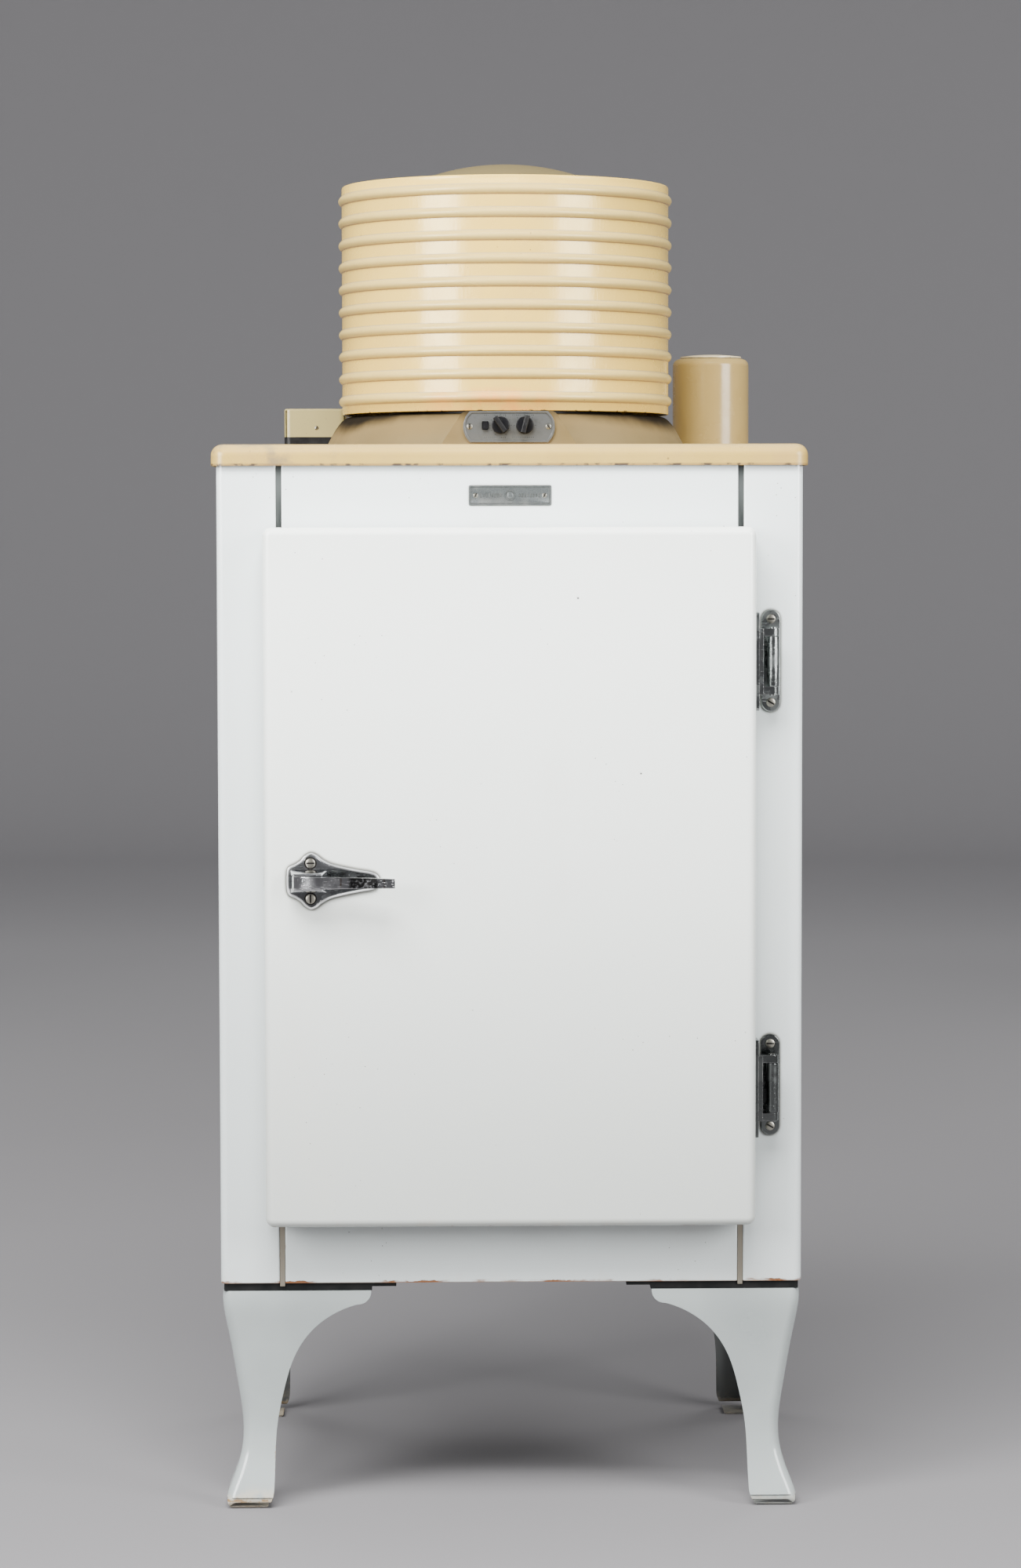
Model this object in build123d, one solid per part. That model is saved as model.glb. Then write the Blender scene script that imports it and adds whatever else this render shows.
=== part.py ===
"""Early electric refrigerator: a white steel cabinet on four bowed legs, with a round sealed
cooling unit on its top.

Millimetres. +Z is up, +X is to the right and -Y is the front, where the door is.
The origin is on the floor, under the middle of the whole object.
"""
from build123d import *
from math import sqrt
import os

# ---- driving dimensions -------------------------------------------------------------------
FACE_Y = -246.5                       # plane of the cabinet's front panels
CABINET_HALF_WIDTH = 358.0
CABINET_DEPTH = 590.0
CABINET_BOTTOM_Z = 283.0
PANEL_TOP_Z = 1300.0                  # the panels' top edges stand inside the top pan
CABINET_CORNER_R = 9.0
SKIN = 2.0

PAN_OVERHANG = 6.5
PAN_BOTTOM_Z = 1287.0
PAN_TOP_Z = 1313.2
PAN_EDGE_R = 14.0
PAN_CORNER_R = 18.0

SEAM_X = 282.0                        # middle of each joint between side and front panels
SEAM_WIDTH = 6.0
SEAM_HANG = 4.0                       # the strips hang this far below the panels
PANEL_EDGE_R = 3.0
PANEL_RETURN = 12.0

OPENING_HALF_WIDTH = 267.0            # inside of the food compartment
OPENING_BOTTOM_Z = 388.0
OPENING_TOP_Z = 1184.0
LINER_DEPTH = 507.0
LINER_WALL = 1.5
LINER_CORNER_R = 18.0
BREAKER_MARGIN = 16.0                 # width of the frame between panels and liner

DOOR_LEFT_X = -300.0
DOOR_RIGHT_X = 297.0
DOOR_BOTTOM_Z = 361.0
DOOR_TOP_Z = 1212.0
DOOR_FRONT = 58.0                     # the door's front stands this far before the face
DOOR_BACK = 8.0                       # and its back stands this far before it
DOOR_CORNER_R = 10.5
DOOR_EDGE_R = 10.0
DOOR_SKIN = 2.0
DYKE_DEPTH = 18.0                     # raised middle of the inner panel
GASKET_WIDTH = 10.0
GASKET_CLEARANCE = 0.3

HINGE_PIN_X = 319.0
HINGE_PIN_OFFSET = 30.0               # the pin's axis stands this far before the face
HINGE_PIN_R = 3.0
HINGE_CLEARANCE = 0.05
HINGE_BARREL_R = 7.5
HINGE_CENTRES_Z = (1048.5, 527.0)
HINGE_LEAF_HALF_HEIGHT = 62.5
HINGE_SCREW_OFFSET_Z = 51.0
HINGE_BARREL_HALF_HEIGHT = 30.7
HINGE_ARM_GAP = 0.4
HINGE_ARM_HEIGHT = 9.0

LATCH_Z = 785.0
LATCH_PIVOT_X = -258.0
LATCH_PIVOT_OFFSET = 10.0             # the pivot stands this far before the door's front
LATCH_PLATE = 4.0
HANDLE_HEIGHT = 15.0                   # at the pivot
HANDLE_TIP_HEIGHT = 11.0
HANDLE_TIP_X = -141.0
HANDLE_TIP_OFFSET = 45.5

LEG_TOP_Z = 273.0
LEG_SHEET = 3.0
LEG_CORNER_R = 13.0
LEG_REACH = 185.0                     # length of a leg's top along each side
LEG_COLUMN = 230.0
# height, and how far the leg's outer face stands inside the cabinet's side there
LEG_BOW = ((273.0, 2.5), (228.0, 6.6), (182.0, 14.6), (137.0, 21.4), (92.0, 25.2), (46.0, 16.6),
           (0.0, 3.5))

UNIT_Y = FACE_Y + 290.0               # axis of the cooling unit
DRUM_R = 209.5
DRUM_SHEET = 2.0
DRUM_BOTTOM_Z = 1356.0
DRUM_TOP_Z = 1646.5
COIL_TURNS = 10
COIL_FIRST_Z = 1373.4
COIL_PITCH = 28.4
COIL_HALF_HEIGHT = 5.6
COIL_STAND = 3.4

CASING_R = 150.0
CASING_WALL = 4.0
CASING_BOTTOM_Z = 1339.5
CASING_TOP_Z = 1620.0
DOME_SPHERE_R = 310.0
DOME_TOP_Z = 1676.0

PLUG_HALF_WIDTH = 129.0
PLUG_HALF_DEPTH = 154.0
EVAPORATOR_HALF_WIDTH = 125.0
EVAPORATOR_BOTTOM_Z = 965.0
EVAPORATOR_TOP_Z = 1165.0
EVAPORATOR_FRONT_Y = FACE_Y + 95.0
EVAPORATOR_DEPTH = 300.0
TRAY_FLOORS_Z = (977.0, 1050.0)
TRAY_HEIGHT = 38.0
TRAY_HALF_WIDTH = 96.0
TRAY_LENGTH = 275.0
TRAY_WALL = 1.5

SHELVES_Z = (560.0, 735.0, 912.0)     # top of each shelf's frame
SHELF_ROD = 6.0
SHELF_WIRE_R = 1.5
SHELF_WIRES = 19
SHELF_FRONT_Y = FACE_Y + 30.0
SHELF_BACK_Y = FACE_Y + 495.0
STUD_R = 4.0

CONTROL_Y = FACE_Y + 56.0             # front of the boss that carries the control plate
CONTROL_Z = 1335.4
CONTROL_HALF_WIDTH = 56.4
CONTROL_HALF_HEIGHT = 19.2
CONTROL_PLATE = 3.0
KNOB_XS = (-10.4, 19.5)
KNOB_Z = 1337.3
KNOB_R = 10.8
KNOB_DEPTH = 13.0
KNOB_SHAFT_R = 3.0
BUTTON_X = -29.3
BUTTON_Z = 1336.9

FLOAT_X = 277.0
FLOAT_Y = FACE_Y + 470.0
FLOAT_R = 50.5
FLOAT_TOP_Z = 1436.0
FLOAT_LID_R = 40.5

BOX_LEFT_X = -288.6
BOX_RIGHT_X = -207.0
BOX_FRONT_Y = FACE_Y + 402.0
BOX_BACK_Y = FACE_Y + 540.0
BOX_SPLIT_Z = 1331.5
BOX_TOP_Z = 1368.7
BOX_CORNER_R = 9.0
INLET_Z = PAN_TOP_Z + 10.6
INLET_R = 4.0

SCREW_R = 4.2
SCREW_SLOT = 1.1


# ---- helpers ------------------------------------------------------------------------------
def save(shape, name):
    """Write one sub-part to its own file."""
    export_step(shape, "parts/" + name + ".step")


def block(x0, x1, y0, y1, z0, z1):
    """A box between two corners."""
    size = Box(x1 - x0, y1 - y0, z1 - z0)
    return Pos((x0 + x1) / 2, (y0 + y1) / 2, (z0 + z1) / 2) * size


def rod_x(x0, x1, y, z, radius):
    return Pos((x0 + x1) / 2, y, z) * Rot(0, 90, 0) * Cylinder(radius, x1 - x0)


def rod_y(x, y0, y1, z, radius):
    return Pos(x, (y0 + y1) / 2, z) * Rot(90, 0, 0) * Cylinder(radius, y1 - y0)


def rod_z(x, y, z0, z1, radius):
    return Pos(x, y, (z0 + z1) / 2) * Cylinder(radius, z1 - z0)


def mirrored(shape):
    """The same shape on the other side of the middle plane."""
    return mirror(shape, about=Plane.YZ)


def turned(points, axis_x, axis_y):
    """A solid of revolution about a vertical axis, from (radius, height) points."""
    section = make_face(Plane.XZ * Polyline(*points, close=True))
    return Pos(axis_x, axis_y, 0) * revolve(section, Axis.Z)


def plan_outline(points, z0, z1):
    """A prism that stands on a plan outline of (x, y) points."""
    face = make_face(Polyline(*points, close=True))
    return extrude(Pos(0, 0, z0) * face, amount=z1 - z0)


def slotted_screw(x, y, z, radius, turn):
    """A round-headed screw, its head to the front and its back on the plane at y."""
    head = Pos(x, y, z) * Rot(90, 0, 0) * Pos(0, 0, 0.6) * Cylinder(radius, 1.2)
    crown = Pos(x, y + radius * 1.1, z) * Sphere(radius * 1.6)
    crown &= rod_y(x, y - 2.4, y - 1.2, z, radius)
    slot = Pos(x, y - 2.4, z) * Rot(0, turn, 0) * Box(2.4 * radius, 2.4, SCREW_SLOT)
    return head + crown - slot


def ring_frame(half_width, z0, z1, width, y0, y1):
    """A rectangular frame that stands upright, with its outer edges given."""
    outer = block(-half_width, half_width, y0, y1, z0, z1)
    inner = block(width - half_width, half_width - width, y0 - 1, y1 + 1, z0 + width, z1 - width)
    return outer - inner


# ---- cabinet ------------------------------------------------------------------------------
def side_panel():
    """Right side: one sheet that turns round the front and back corners."""
    back_y = FACE_Y + CABINET_DEPTH
    inner_x = SEAM_X + SEAM_WIDTH / 2
    outer = block(inner_x, CABINET_HALF_WIDTH, FACE_Y, back_y, CABINET_BOTTOM_Z, PANEL_TOP_Z)
    corners = outer.edges().filter_by(Axis.Z).sort_by(Axis.X)
    outer = fillet(corners[2:], CABINET_CORNER_R)
    edge = outer.edges().filter_by(Axis.Z).sort_by(Axis.X)[:2].sort_by(Axis.Y)[0]
    outer = fillet(edge, PANEL_EDGE_R)
    cavity = block(inner_x + SKIN, CABINET_HALF_WIDTH - SKIN, FACE_Y + SKIN, back_y - SKIN,
                   CABINET_BOTTOM_Z - 1, PANEL_TOP_Z + 1)
    corners = cavity.edges().filter_by(Axis.Z).sort_by(Axis.X)
    cavity = fillet(corners[2:], CABINET_CORNER_R - SKIN)
    edge = cavity.edges().filter_by(Axis.Z).sort_by(Axis.X)[:2].sort_by(Axis.Y)[0]
    cavity = fillet(edge, PANEL_EDGE_R - SKIN)
    open_side = block(inner_x - 1, inner_x + SKIN + 1, FACE_Y + PANEL_RETURN, back_y + 1,
                      CABINET_BOTTOM_Z - 1, PANEL_TOP_Z + 1)
    open_back = block(inner_x - 1, CABINET_HALF_WIDTH - 30, back_y - 2 * SKIN, back_y + 1,
                      CABINET_BOTTOM_Z - 1, PANEL_TOP_Z + 1)
    return outer - cavity - open_side - open_back


def front_panel(z0, z1):
    """Header or sill: a shallow sheet pan with rounded upright edges."""
    half = SEAM_X - SEAM_WIDTH / 2
    outer = block(-half, half, FACE_Y, FACE_Y + PANEL_RETURN, z0, z1)
    fronts = outer.edges().filter_by(Axis.Z).group_by(Axis.Y)[0]
    outer = fillet(fronts, PANEL_EDGE_R)
    return outer - block(SKIN - half, half - SKIN, FACE_Y + SKIN, FACE_Y + PANEL_RETURN + 1,
                         z0 + SKIN, z1 - SKIN)


def seam_strips():
    """Filler strips between the side panels and the header and sill."""
    half = SEAM_WIDTH / 2 - 0.05
    sill_top = OPENING_BOTTOM_Z - BREAKER_MARGIN - 0.5
    header_bottom = OPENING_TOP_Z + BREAKER_MARGIN + 0.5
    strips = []
    for side in (-1, 1):
        x = side * SEAM_X
        for z0, z1 in ((CABINET_BOTTOM_Z - SEAM_HANG, sill_top), (header_bottom, PANEL_TOP_Z)):
            strips.append(block(x - half, x + half, FACE_Y + 1.2, FACE_Y + 3.8, z0, z1))
    return Compound(strips)


def back_panel():
    half = CABINET_HALF_WIDTH - 30.5
    back_y = FACE_Y + CABINET_DEPTH
    sheet = block(-half, half, back_y - SKIN, back_y, CABINET_BOTTOM_Z + 0.2, PANEL_TOP_Z)
    for z in (430.0, 790.0, 1150.0):
        rib = block(-half + 40, half - 40, back_y - SKIN, back_y + 3, z - 6, z + 6)
        rib = chamfer(rib.edges().filter_by(Axis.X).group_by(Axis.Y)[-1], 2.9)
        sheet += rib
    return sheet


def bottom_panel():
    edge = CABINET_HALF_WIDTH - SKIN - 0.2
    sheet = block(-edge, edge, FACE_Y + PANEL_RETURN + 0.2, FACE_Y + CABINET_DEPTH - SKIN - 0.2,
                  CABINET_BOTTOM_Z, CABINET_BOTTOM_Z + SKIN)
    return fillet(sheet.edges().filter_by(Axis.Z).group_by(Axis.Y)[-1], CABINET_CORNER_R)


def cork_insulation():
    """Slabs at the sides, back, bottom and top; the top one is cut out for the unit's plug."""
    liner_half = OPENING_HALF_WIDTH + LINER_WALL + 0.1
    skin_half = CABINET_HALF_WIDTH - SKIN - 0.1
    front = FACE_Y + PANEL_RETURN + 0.3
    liner_back = FACE_Y + LINER_DEPTH + LINER_WALL + 0.1
    back = FACE_Y + CABINET_DEPTH - CABINET_CORNER_R - 0.1
    floor = CABINET_BOTTOM_Z + SKIN + 0.1
    low = OPENING_BOTTOM_Z - LINER_WALL - 0.1
    high = OPENING_TOP_Z + LINER_WALL + 0.1
    top = PAN_TOP_Z - 2.6
    right = block(liner_half, skin_half, front, back, low, high)
    middle_back = block(-liner_half + 0.1, liner_half - 0.1, liner_back, back, low, high)
    bottom = block(-skin_half, skin_half, front, back, floor, low - 0.1)
    lid = block(-skin_half, skin_half, front, back, high + 0.1, top)
    lid = chamfer(lid.edges().group_by(Axis.Z)[-1], 6)
    lid -= block(-PLUG_HALF_WIDTH - 1, PLUG_HALF_WIDTH + 1, UNIT_Y - PLUG_HALF_DEPTH - 1,
                 UNIT_Y + PLUG_HALF_DEPTH + 1, high - 1, top + 1)
    return Compound([right, mirrored(right), middle_back, bottom, lid])


def liner():
    """One-piece enamelled box, open at the front, with a hole in its ceiling."""
    half = OPENING_HALF_WIDTH
    front = FACE_Y + 6.2
    back = FACE_Y + LINER_DEPTH
    wall = LINER_WALL
    outer = block(-half - wall, half + wall, front, back + wall,
                  OPENING_BOTTOM_Z - wall, OPENING_TOP_Z + wall)
    outer = fillet(outer.edges().filter_by(Axis.Y), LINER_CORNER_R + wall)
    outer = fillet(outer.edges().group_by(Axis.Y)[-1], LINER_CORNER_R - 2 + wall)
    inner = block(-half, half, front - 50, back, OPENING_BOTTOM_Z, OPENING_TOP_Z)
    inner = fillet(inner.edges().filter_by(Axis.Y), LINER_CORNER_R)
    inner = fillet(inner.edges().group_by(Axis.Y)[-1], LINER_CORNER_R - 2)
    hole = block(-PLUG_HALF_WIDTH - 1, PLUG_HALF_WIDTH + 1, UNIT_Y - PLUG_HALF_DEPTH - 1,
                 UNIT_Y + PLUG_HALF_DEPTH + 1, OPENING_TOP_Z - 5, OPENING_TOP_Z + 5)
    return outer - inner - hole


def breaker_frame():
    """Moulded frame that bridges the outer panels and the liner."""
    half = OPENING_HALF_WIDTH + BREAKER_MARGIN + 1.7
    z0 = OPENING_BOTTOM_Z - BREAKER_MARGIN
    z1 = OPENING_TOP_Z + BREAKER_MARGIN
    outer = block(-half, half, FACE_Y, FACE_Y + 6, z0, z1)
    hole = block(-OPENING_HALF_WIDTH, OPENING_HALF_WIDTH, FACE_Y - 1, FACE_Y + 7,
                 OPENING_BOTTOM_Z, OPENING_TOP_Z)
    hole = fillet(hole.edges().filter_by(Axis.Y), LINER_CORNER_R)
    return outer - hole


def top_pan():
    half = CABINET_HALF_WIDTH + PAN_OVERHANG
    y0 = FACE_Y - PAN_OVERHANG
    y1 = FACE_Y + CABINET_DEPTH + PAN_OVERHANG
    sheet = 2.5
    outer = block(-half, half, y0, y1, PAN_BOTTOM_Z, PAN_TOP_Z)
    outer = fillet(outer.edges().filter_by(Axis.Z), PAN_CORNER_R)
    outer = fillet(outer.edges().group_by(Axis.Z)[-1], PAN_EDGE_R)
    inner = block(sheet - half, half - sheet, y0 + sheet, y1 - sheet,
                  PAN_BOTTOM_Z - 10, PAN_TOP_Z - sheet)
    inner = fillet(inner.edges().filter_by(Axis.Z), PAN_CORNER_R - sheet)
    inner = fillet(inner.edges().group_by(Axis.Z)[-1], PAN_EDGE_R - sheet)
    hole = block(-PLUG_HALF_WIDTH - 1, PLUG_HALF_WIDTH + 1, UNIT_Y - PLUG_HALF_DEPTH - 1,
                 UNIT_Y + PLUG_HALF_DEPTH + 1, PAN_BOTTOM_Z, PAN_TOP_Z + 1)
    return outer - inner - hole


# ---- legs ---------------------------------------------------------------------------------
def leg_column(inset, corner_r):
    """Upright column whose outer corner follows the leg's bow; inset moves it inwards."""
    sections = []
    for z, bow in LEG_BOW:
        near = bow + inset
        middle = near + corner_r * (1 - 1 / sqrt(2))
        arc = ThreePointArc((near + corner_r, near), (middle, middle), (near, near + corner_r))
        sides = Polyline((near, near + corner_r), (near, LEG_COLUMN), (LEG_COLUMN, LEG_COLUMN),
                         (LEG_COLUMN, near), (near + corner_r, near))
        sections.append(Pos(0, 0, z) * make_face([arc, sides]))
    return loft(sections)


def leg_profile():
    """What one face of the leg covers: distance from the cabinet's side, and height."""
    toe = ThreePointArc((6.6, 14.0), (8.0, 4.5), (14.0, 0.0))
    sole = Line((14.0, 0.0), (54.0, 0.0))
    heel = ThreePointArc((54.0, 0.0), (60.8, 9.5), (64.0, 22.0))
    bow = Spline((64.0, 22.0), (65.0, 50.0), (67.5, 98.0), (76.5, 146.0), (90.0, 189.0),
                 (108.0, 218.0), (133.0, 240.0), (168.0, 255.5))
    tip = ThreePointArc((168.0, 255.5), (180.0, 260.0), (LEG_REACH, LEG_TOP_Z))
    rest = Polyline((LEG_REACH, LEG_TOP_Z), (-5.0, LEG_TOP_Z), (-5.0, 14.0), (6.6, 14.0))
    return make_face([toe, sole, heel, bow, tip, rest])


def leg():
    """Pressed sheet leg with an angle section, drawn at the corner of the first quadrant."""
    profile = leg_profile()
    across = extrude(Plane.XZ * profile, amount=-LEG_COLUMN)
    deep = extrude(Plane.YZ * profile, amount=LEG_COLUMN)
    outside = leg_column(0, LEG_CORNER_R) & (across & deep)
    inside = leg_column(LEG_SHEET, LEG_CORNER_R - LEG_SHEET)
    inside -= block(-10, LEG_COLUMN + 10, -10, LEG_COLUMN + 10, -10, LEG_SHEET)
    gusset = plan_outline([(8, 8), (150, 8), (8, 150)], LEG_TOP_Z - LEG_SHEET, LEG_TOP_Z)
    return outside - inside + gusset


def placed_leg(leg_shape, left, front):
    """Move a leg to one corner of the cabinet."""
    piece = leg_shape
    if not left:
        piece = mirror(piece, about=Plane.YZ)
    if not front:
        piece = mirror(piece, about=Plane.XZ)
    x = -CABINET_HALF_WIDTH if left else CABINET_HALF_WIDTH
    y = FACE_Y if front else FACE_Y + CABINET_DEPTH
    return Pos(x, y, 0) * piece


def corner_iron(reach, z0, z1):
    """Flat iron with two arms, its outer corner at the origin."""
    arm_width = 34
    return block(0, reach, 0, arm_width, z0, z1) + block(0, arm_width, 0, reach, z0, z1)


def leg_plates():
    """Black corner irons between the legs and the cabinet."""
    plates = []
    front_y = FACE_Y + 4
    back_y = FACE_Y + CABINET_DEPTH - 4
    outer_x = CABINET_HALF_WIDTH - 4
    for side in (-1, 1):
        for y, inward in ((front_y, 1), (back_y, -1)):
            plate = corner_iron(182, 273.0, 278.0) + corner_iron(212, 278.0, CABINET_BOTTOM_Z)
            if side > 0:
                plate = mirror(plate, about=Plane.YZ)
            if inward < 0:
                plate = mirror(plate, about=Plane.XZ)
            plates.append(Pos(side * outer_x, y, 0) * plate)
    return Compound(plates)


# ---- inside the food compartment ----------------------------------------------------------
def wire_shelf(top_z):
    """A rod frame with wires from front to back and two stiffening rods below them."""
    half = OPENING_HALF_WIDTH - 3
    y0 = SHELF_FRONT_Y
    y1 = SHELF_BACK_Y
    z0 = top_z - SHELF_ROD
    frame = block(-half, half, y0, y1, z0, top_z)
    frame -= block(SHELF_ROD - half, half - SHELF_ROD, y0 + SHELF_ROD, y1 - SHELF_ROD,
                   z0 - 1, top_z + 1)
    wire_z = top_z - SHELF_WIRE_R
    wires = []
    for i in range(SHELF_WIRES):
        x = -half + 2 * half * (i + 1) / (SHELF_WIRES + 1)
        wires.append(rod_y(x, y0 + 3, y1 - 3, wire_z, SHELF_WIRE_R))
    for y in (y0 + 155, y0 + 310):
        wires.append(rod_x(3 - half, half - 3, y, wire_z - 2.5, SHELF_WIRE_R))
    return frame.fuse(*wires)


def shelf_studs():
    """Studs in the liner's side walls that the shelves rest on."""
    studs = []
    for top_z in SHELVES_Z:
        z = top_z - SHELF_ROD - STUD_R
        for y in (SHELF_FRONT_Y + 40, SHELF_BACK_Y - 40):
            stud = rod_x(OPENING_HALF_WIDTH - 10, OPENING_HALF_WIDTH, y, z, STUD_R)
            studs.append(stud)
            studs.append(mirrored(stud))
    return Compound(studs)


def unit_plug():
    """Insulated plug that closes the hole in the cabinet's top under the cooling unit."""
    body = block(-PLUG_HALF_WIDTH, PLUG_HALF_WIDTH, UNIT_Y - PLUG_HALF_DEPTH,
                 UNIT_Y + PLUG_HALF_DEPTH, OPENING_TOP_Z, PAN_TOP_Z)
    for x in (-60, 60):
        body -= rod_z(x, UNIT_Y + 60, OPENING_TOP_Z - 1, PAN_TOP_Z + 1, 6.5)
    return body


def refrigerant_lines():
    """Two straight tubes from the cooling unit down to the evaporator."""
    tubes = []
    for x in (-60, 60):
        tube = rod_z(x, UNIT_Y + 60, EVAPORATOR_TOP_Z, CASING_BOTTOM_Z, 6.0)
        tubes.append(tube - rod_z(x, UNIT_Y + 60, EVAPORATOR_TOP_Z, CASING_BOTTOM_Z, 4.0))
    return Compound(tubes)


def evaporator():
    """Freezing box: rounded sleeve, back plate, two tray floors, a ceiling and four hangers."""
    half = EVAPORATOR_HALF_WIDTH
    y0 = EVAPORATOR_FRONT_Y
    y1 = y0 + EVAPORATOR_DEPTH
    z0 = EVAPORATOR_BOTTOM_Z
    z1 = EVAPORATOR_TOP_Z
    outer = fillet(block(-half, half, y0, y1, z0, z1).edges().filter_by(Axis.Y), 26)
    hollow = block(4 - half, half - 4, y0 - 1, y1 - 4, z0 + 4, z1 - 4)
    hollow = fillet(hollow.edges().filter_by(Axis.Y), 22)
    box = outer - hollow
    lower, upper = TRAY_FLOORS_Z
    ceiling = upper + TRAY_HEIGHT + 12
    box += block(-half + 3, half - 3, y0 + 2, y1 - 2, lower - 6, lower)
    box += block(-half + 3, half - 3, y0 + 2, y1 - 2, upper - 12, upper)
    box += block(-half + 3, half - 3, y0 + 2, y1 - 2, ceiling, ceiling + 6)
    for x in (-95, 95):
        for y in (UNIT_Y - 130, y1 - 30):
            box += block(x - 8, x + 8, y - 8, y + 8, z1 - 3, OPENING_TOP_Z)
    return box


def ice_tray(floor_z):
    """Open tray with a looped pull on its front."""
    y0 = EVAPORATOR_FRONT_Y + 6
    y1 = y0 + TRAY_LENGTH
    z0 = floor_z + 0.3
    z1 = z0 + TRAY_HEIGHT
    half = TRAY_HALF_WIDTH
    body = fillet(block(-half, half, y0, y1, z0, z1).edges().filter_by(Axis.Z), 10)
    inside = block(TRAY_WALL - half, half - TRAY_WALL, y0 + TRAY_WALL, y1 - TRAY_WALL,
                   z0 + TRAY_WALL, z1 + 1)
    inside = fillet(inside.edges().filter_by(Axis.Z), 10 - TRAY_WALL)
    tray = body - inside
    middle = z0 + TRAY_HEIGHT / 2
    loop = block(-34, 34, y0 - 20, y0, middle - 3, middle + 3)
    loop = fillet(loop.edges().filter_by(Axis.Z).group_by(Axis.Y)[0], 8)
    loop -= block(-28, 28, y0 - 14, y0 + 1, middle - 4, middle + 4)
    return tray + loop


def drip_tray():
    """Shallow tray on the top shelf, under the evaporator."""
    z0 = SHELVES_Z[2] + 0.2
    y0 = EVAPORATOR_FRONT_Y - 8
    y1 = EVAPORATOR_FRONT_Y + EVAPORATOR_DEPTH + 12
    body = fillet(block(-138, 138, y0, y1, z0, z0 + 28).edges().filter_by(Axis.Z), 14)
    inside = block(-136, 136, y0 + 2, y1 - 2, z0 + 2, z0 + 30)
    inside = fillet(inside.edges().filter_by(Axis.Z), 12)
    rim = fillet(block(-143, 143, y0 - 5, y1 + 5, z0 + 26, z0 + 28).edges().filter_by(Axis.Z), 18)
    return body + rim - inside


# ---- cooling unit -------------------------------------------------------------------------
def skirt_section(points_out, points_in):
    """Closed section between an outer curve and an inner line."""
    outer = Plane.XZ * Spline(*points_out)
    inner = Plane.XZ * Polyline(points_out[-1], *points_in, points_out[0])
    return make_face([outer, inner])


def unit_base():
    """Flared sheet skirt with a boss at the front for the controls."""
    outer = [(232, PAN_TOP_Z), (227, 1322), (214, 1344), (204, 1352.5), (193, 1352)]
    inner = [(166, 1341.5), (CASING_R + 0.2, 1341.5), (CASING_R + 0.2, 1339), (167, 1339),
             (192, 1349), (202, 1349.5), (211.5, 1342.5), (224.5, 1321), (229, PAN_TOP_Z)]
    skirt = Pos(0, UNIT_Y, 0) * revolve(skirt_section(outer, inner), Axis.Z)
    top_z = DRUM_BOTTOM_Z - 0.6
    left = Spline((-84, PAN_TOP_Z), (-71, 1333), (-60, 1350))
    crown = ThreePointArc((-60, 1350), (-56, 1353.8), (-50, top_z))
    top = Line((-50, top_z), (50, top_z))
    right_crown = ThreePointArc((50, top_z), (56, 1353.8), (60, 1350))
    right = Spline((60, 1350), (71, 1333), (84, PAN_TOP_Z))
    base = Line((84, PAN_TOP_Z), (-84, PAN_TOP_Z))
    outline = Plane.XZ * make_face([left, crown, top, right_crown, right, base])
    back_y = UNIT_Y - 188
    boss = extrude(Pos(0, CONTROL_Y, 0) * outline, amount=-(back_y - CONTROL_Y))
    boss -= turned([(0, 1300), (205, 1300), (205, 1345), (188, 1345), (188, 1370), (0, 1370)],
                   0, UNIT_Y)
    base_part = skirt + boss
    pocket = block(-46, 46, CONTROL_Y + 4, CONTROL_Y + 24, CONTROL_Z - 14, CONTROL_Z + 14)
    base_part -= pocket
    for x in KNOB_XS:
        base_part -= rod_y(x, CONTROL_Y - 1, CONTROL_Y + 5, KNOB_Z, KNOB_SHAFT_R + 1)
    return base_part - block(BUTTON_X - 4, BUTTON_X + 4, CONTROL_Y - 1, CONTROL_Y + 5,
                             BUTTON_Z - 5, BUTTON_Z + 5)


def control_switch_body():
    """Switch and thermostat housing in the boss, with a bore for each shaft."""
    body = block(-45, 45, CONTROL_Y + 9, CONTROL_Y + 23.5, CONTROL_Z - 13, CONTROL_Z + 13)
    for x in KNOB_XS:
        body -= rod_y(x, CONTROL_Y + 8, CONTROL_Y + 18, KNOB_Z, KNOB_SHAFT_R + 0.05)
    return body


def compressor_casing():
    wall = CASING_WALL
    z0 = CASING_BOTTOM_Z
    inner_r = CASING_R - wall
    return turned([(0, z0), (CASING_R, z0), (CASING_R, CASING_TOP_Z), (inner_r, CASING_TOP_Z),
                   (inner_r, z0 + wall), (0, z0 + wall)], 0, UNIT_Y)


def casing_dome():
    """Shallow spherical cap with a flange that sits on the casing."""
    wall = 4.0
    flange_r = CASING_R + 6
    flange_z = CASING_TOP_Z + 10
    inner_r = CASING_R - 8

    def sphere_z(radius, at):
        return DOME_TOP_Z - DOME_SPHERE_R + sqrt(radius ** 2 - at ** 2)

    inner_sphere = DOME_SPHERE_R - wall
    edge_z = sphere_z(DOME_SPHERE_R, CASING_R)
    under_z = sphere_z(inner_sphere, inner_r)
    outer_arc = ThreePointArc((0, DOME_TOP_Z), (75, sphere_z(DOME_SPHERE_R, 75)), (CASING_R, edge_z))
    side = Polyline((CASING_R, edge_z), (CASING_R, flange_z), (flange_r, flange_z),
                    (flange_r, CASING_TOP_Z), (inner_r, CASING_TOP_Z), (inner_r, under_z))
    inner_arc = ThreePointArc((inner_r, under_z), (71, sphere_z(inner_sphere, 71)),
                              (0, DOME_TOP_Z - wall))
    axis_line = Line((0, DOME_TOP_Z - wall), (0, DOME_TOP_Z))
    section = Plane.XZ * make_face([outer_arc, side, inner_arc, axis_line])
    return Pos(0, UNIT_Y, 0) * revolve(section, Axis.Z)


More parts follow.
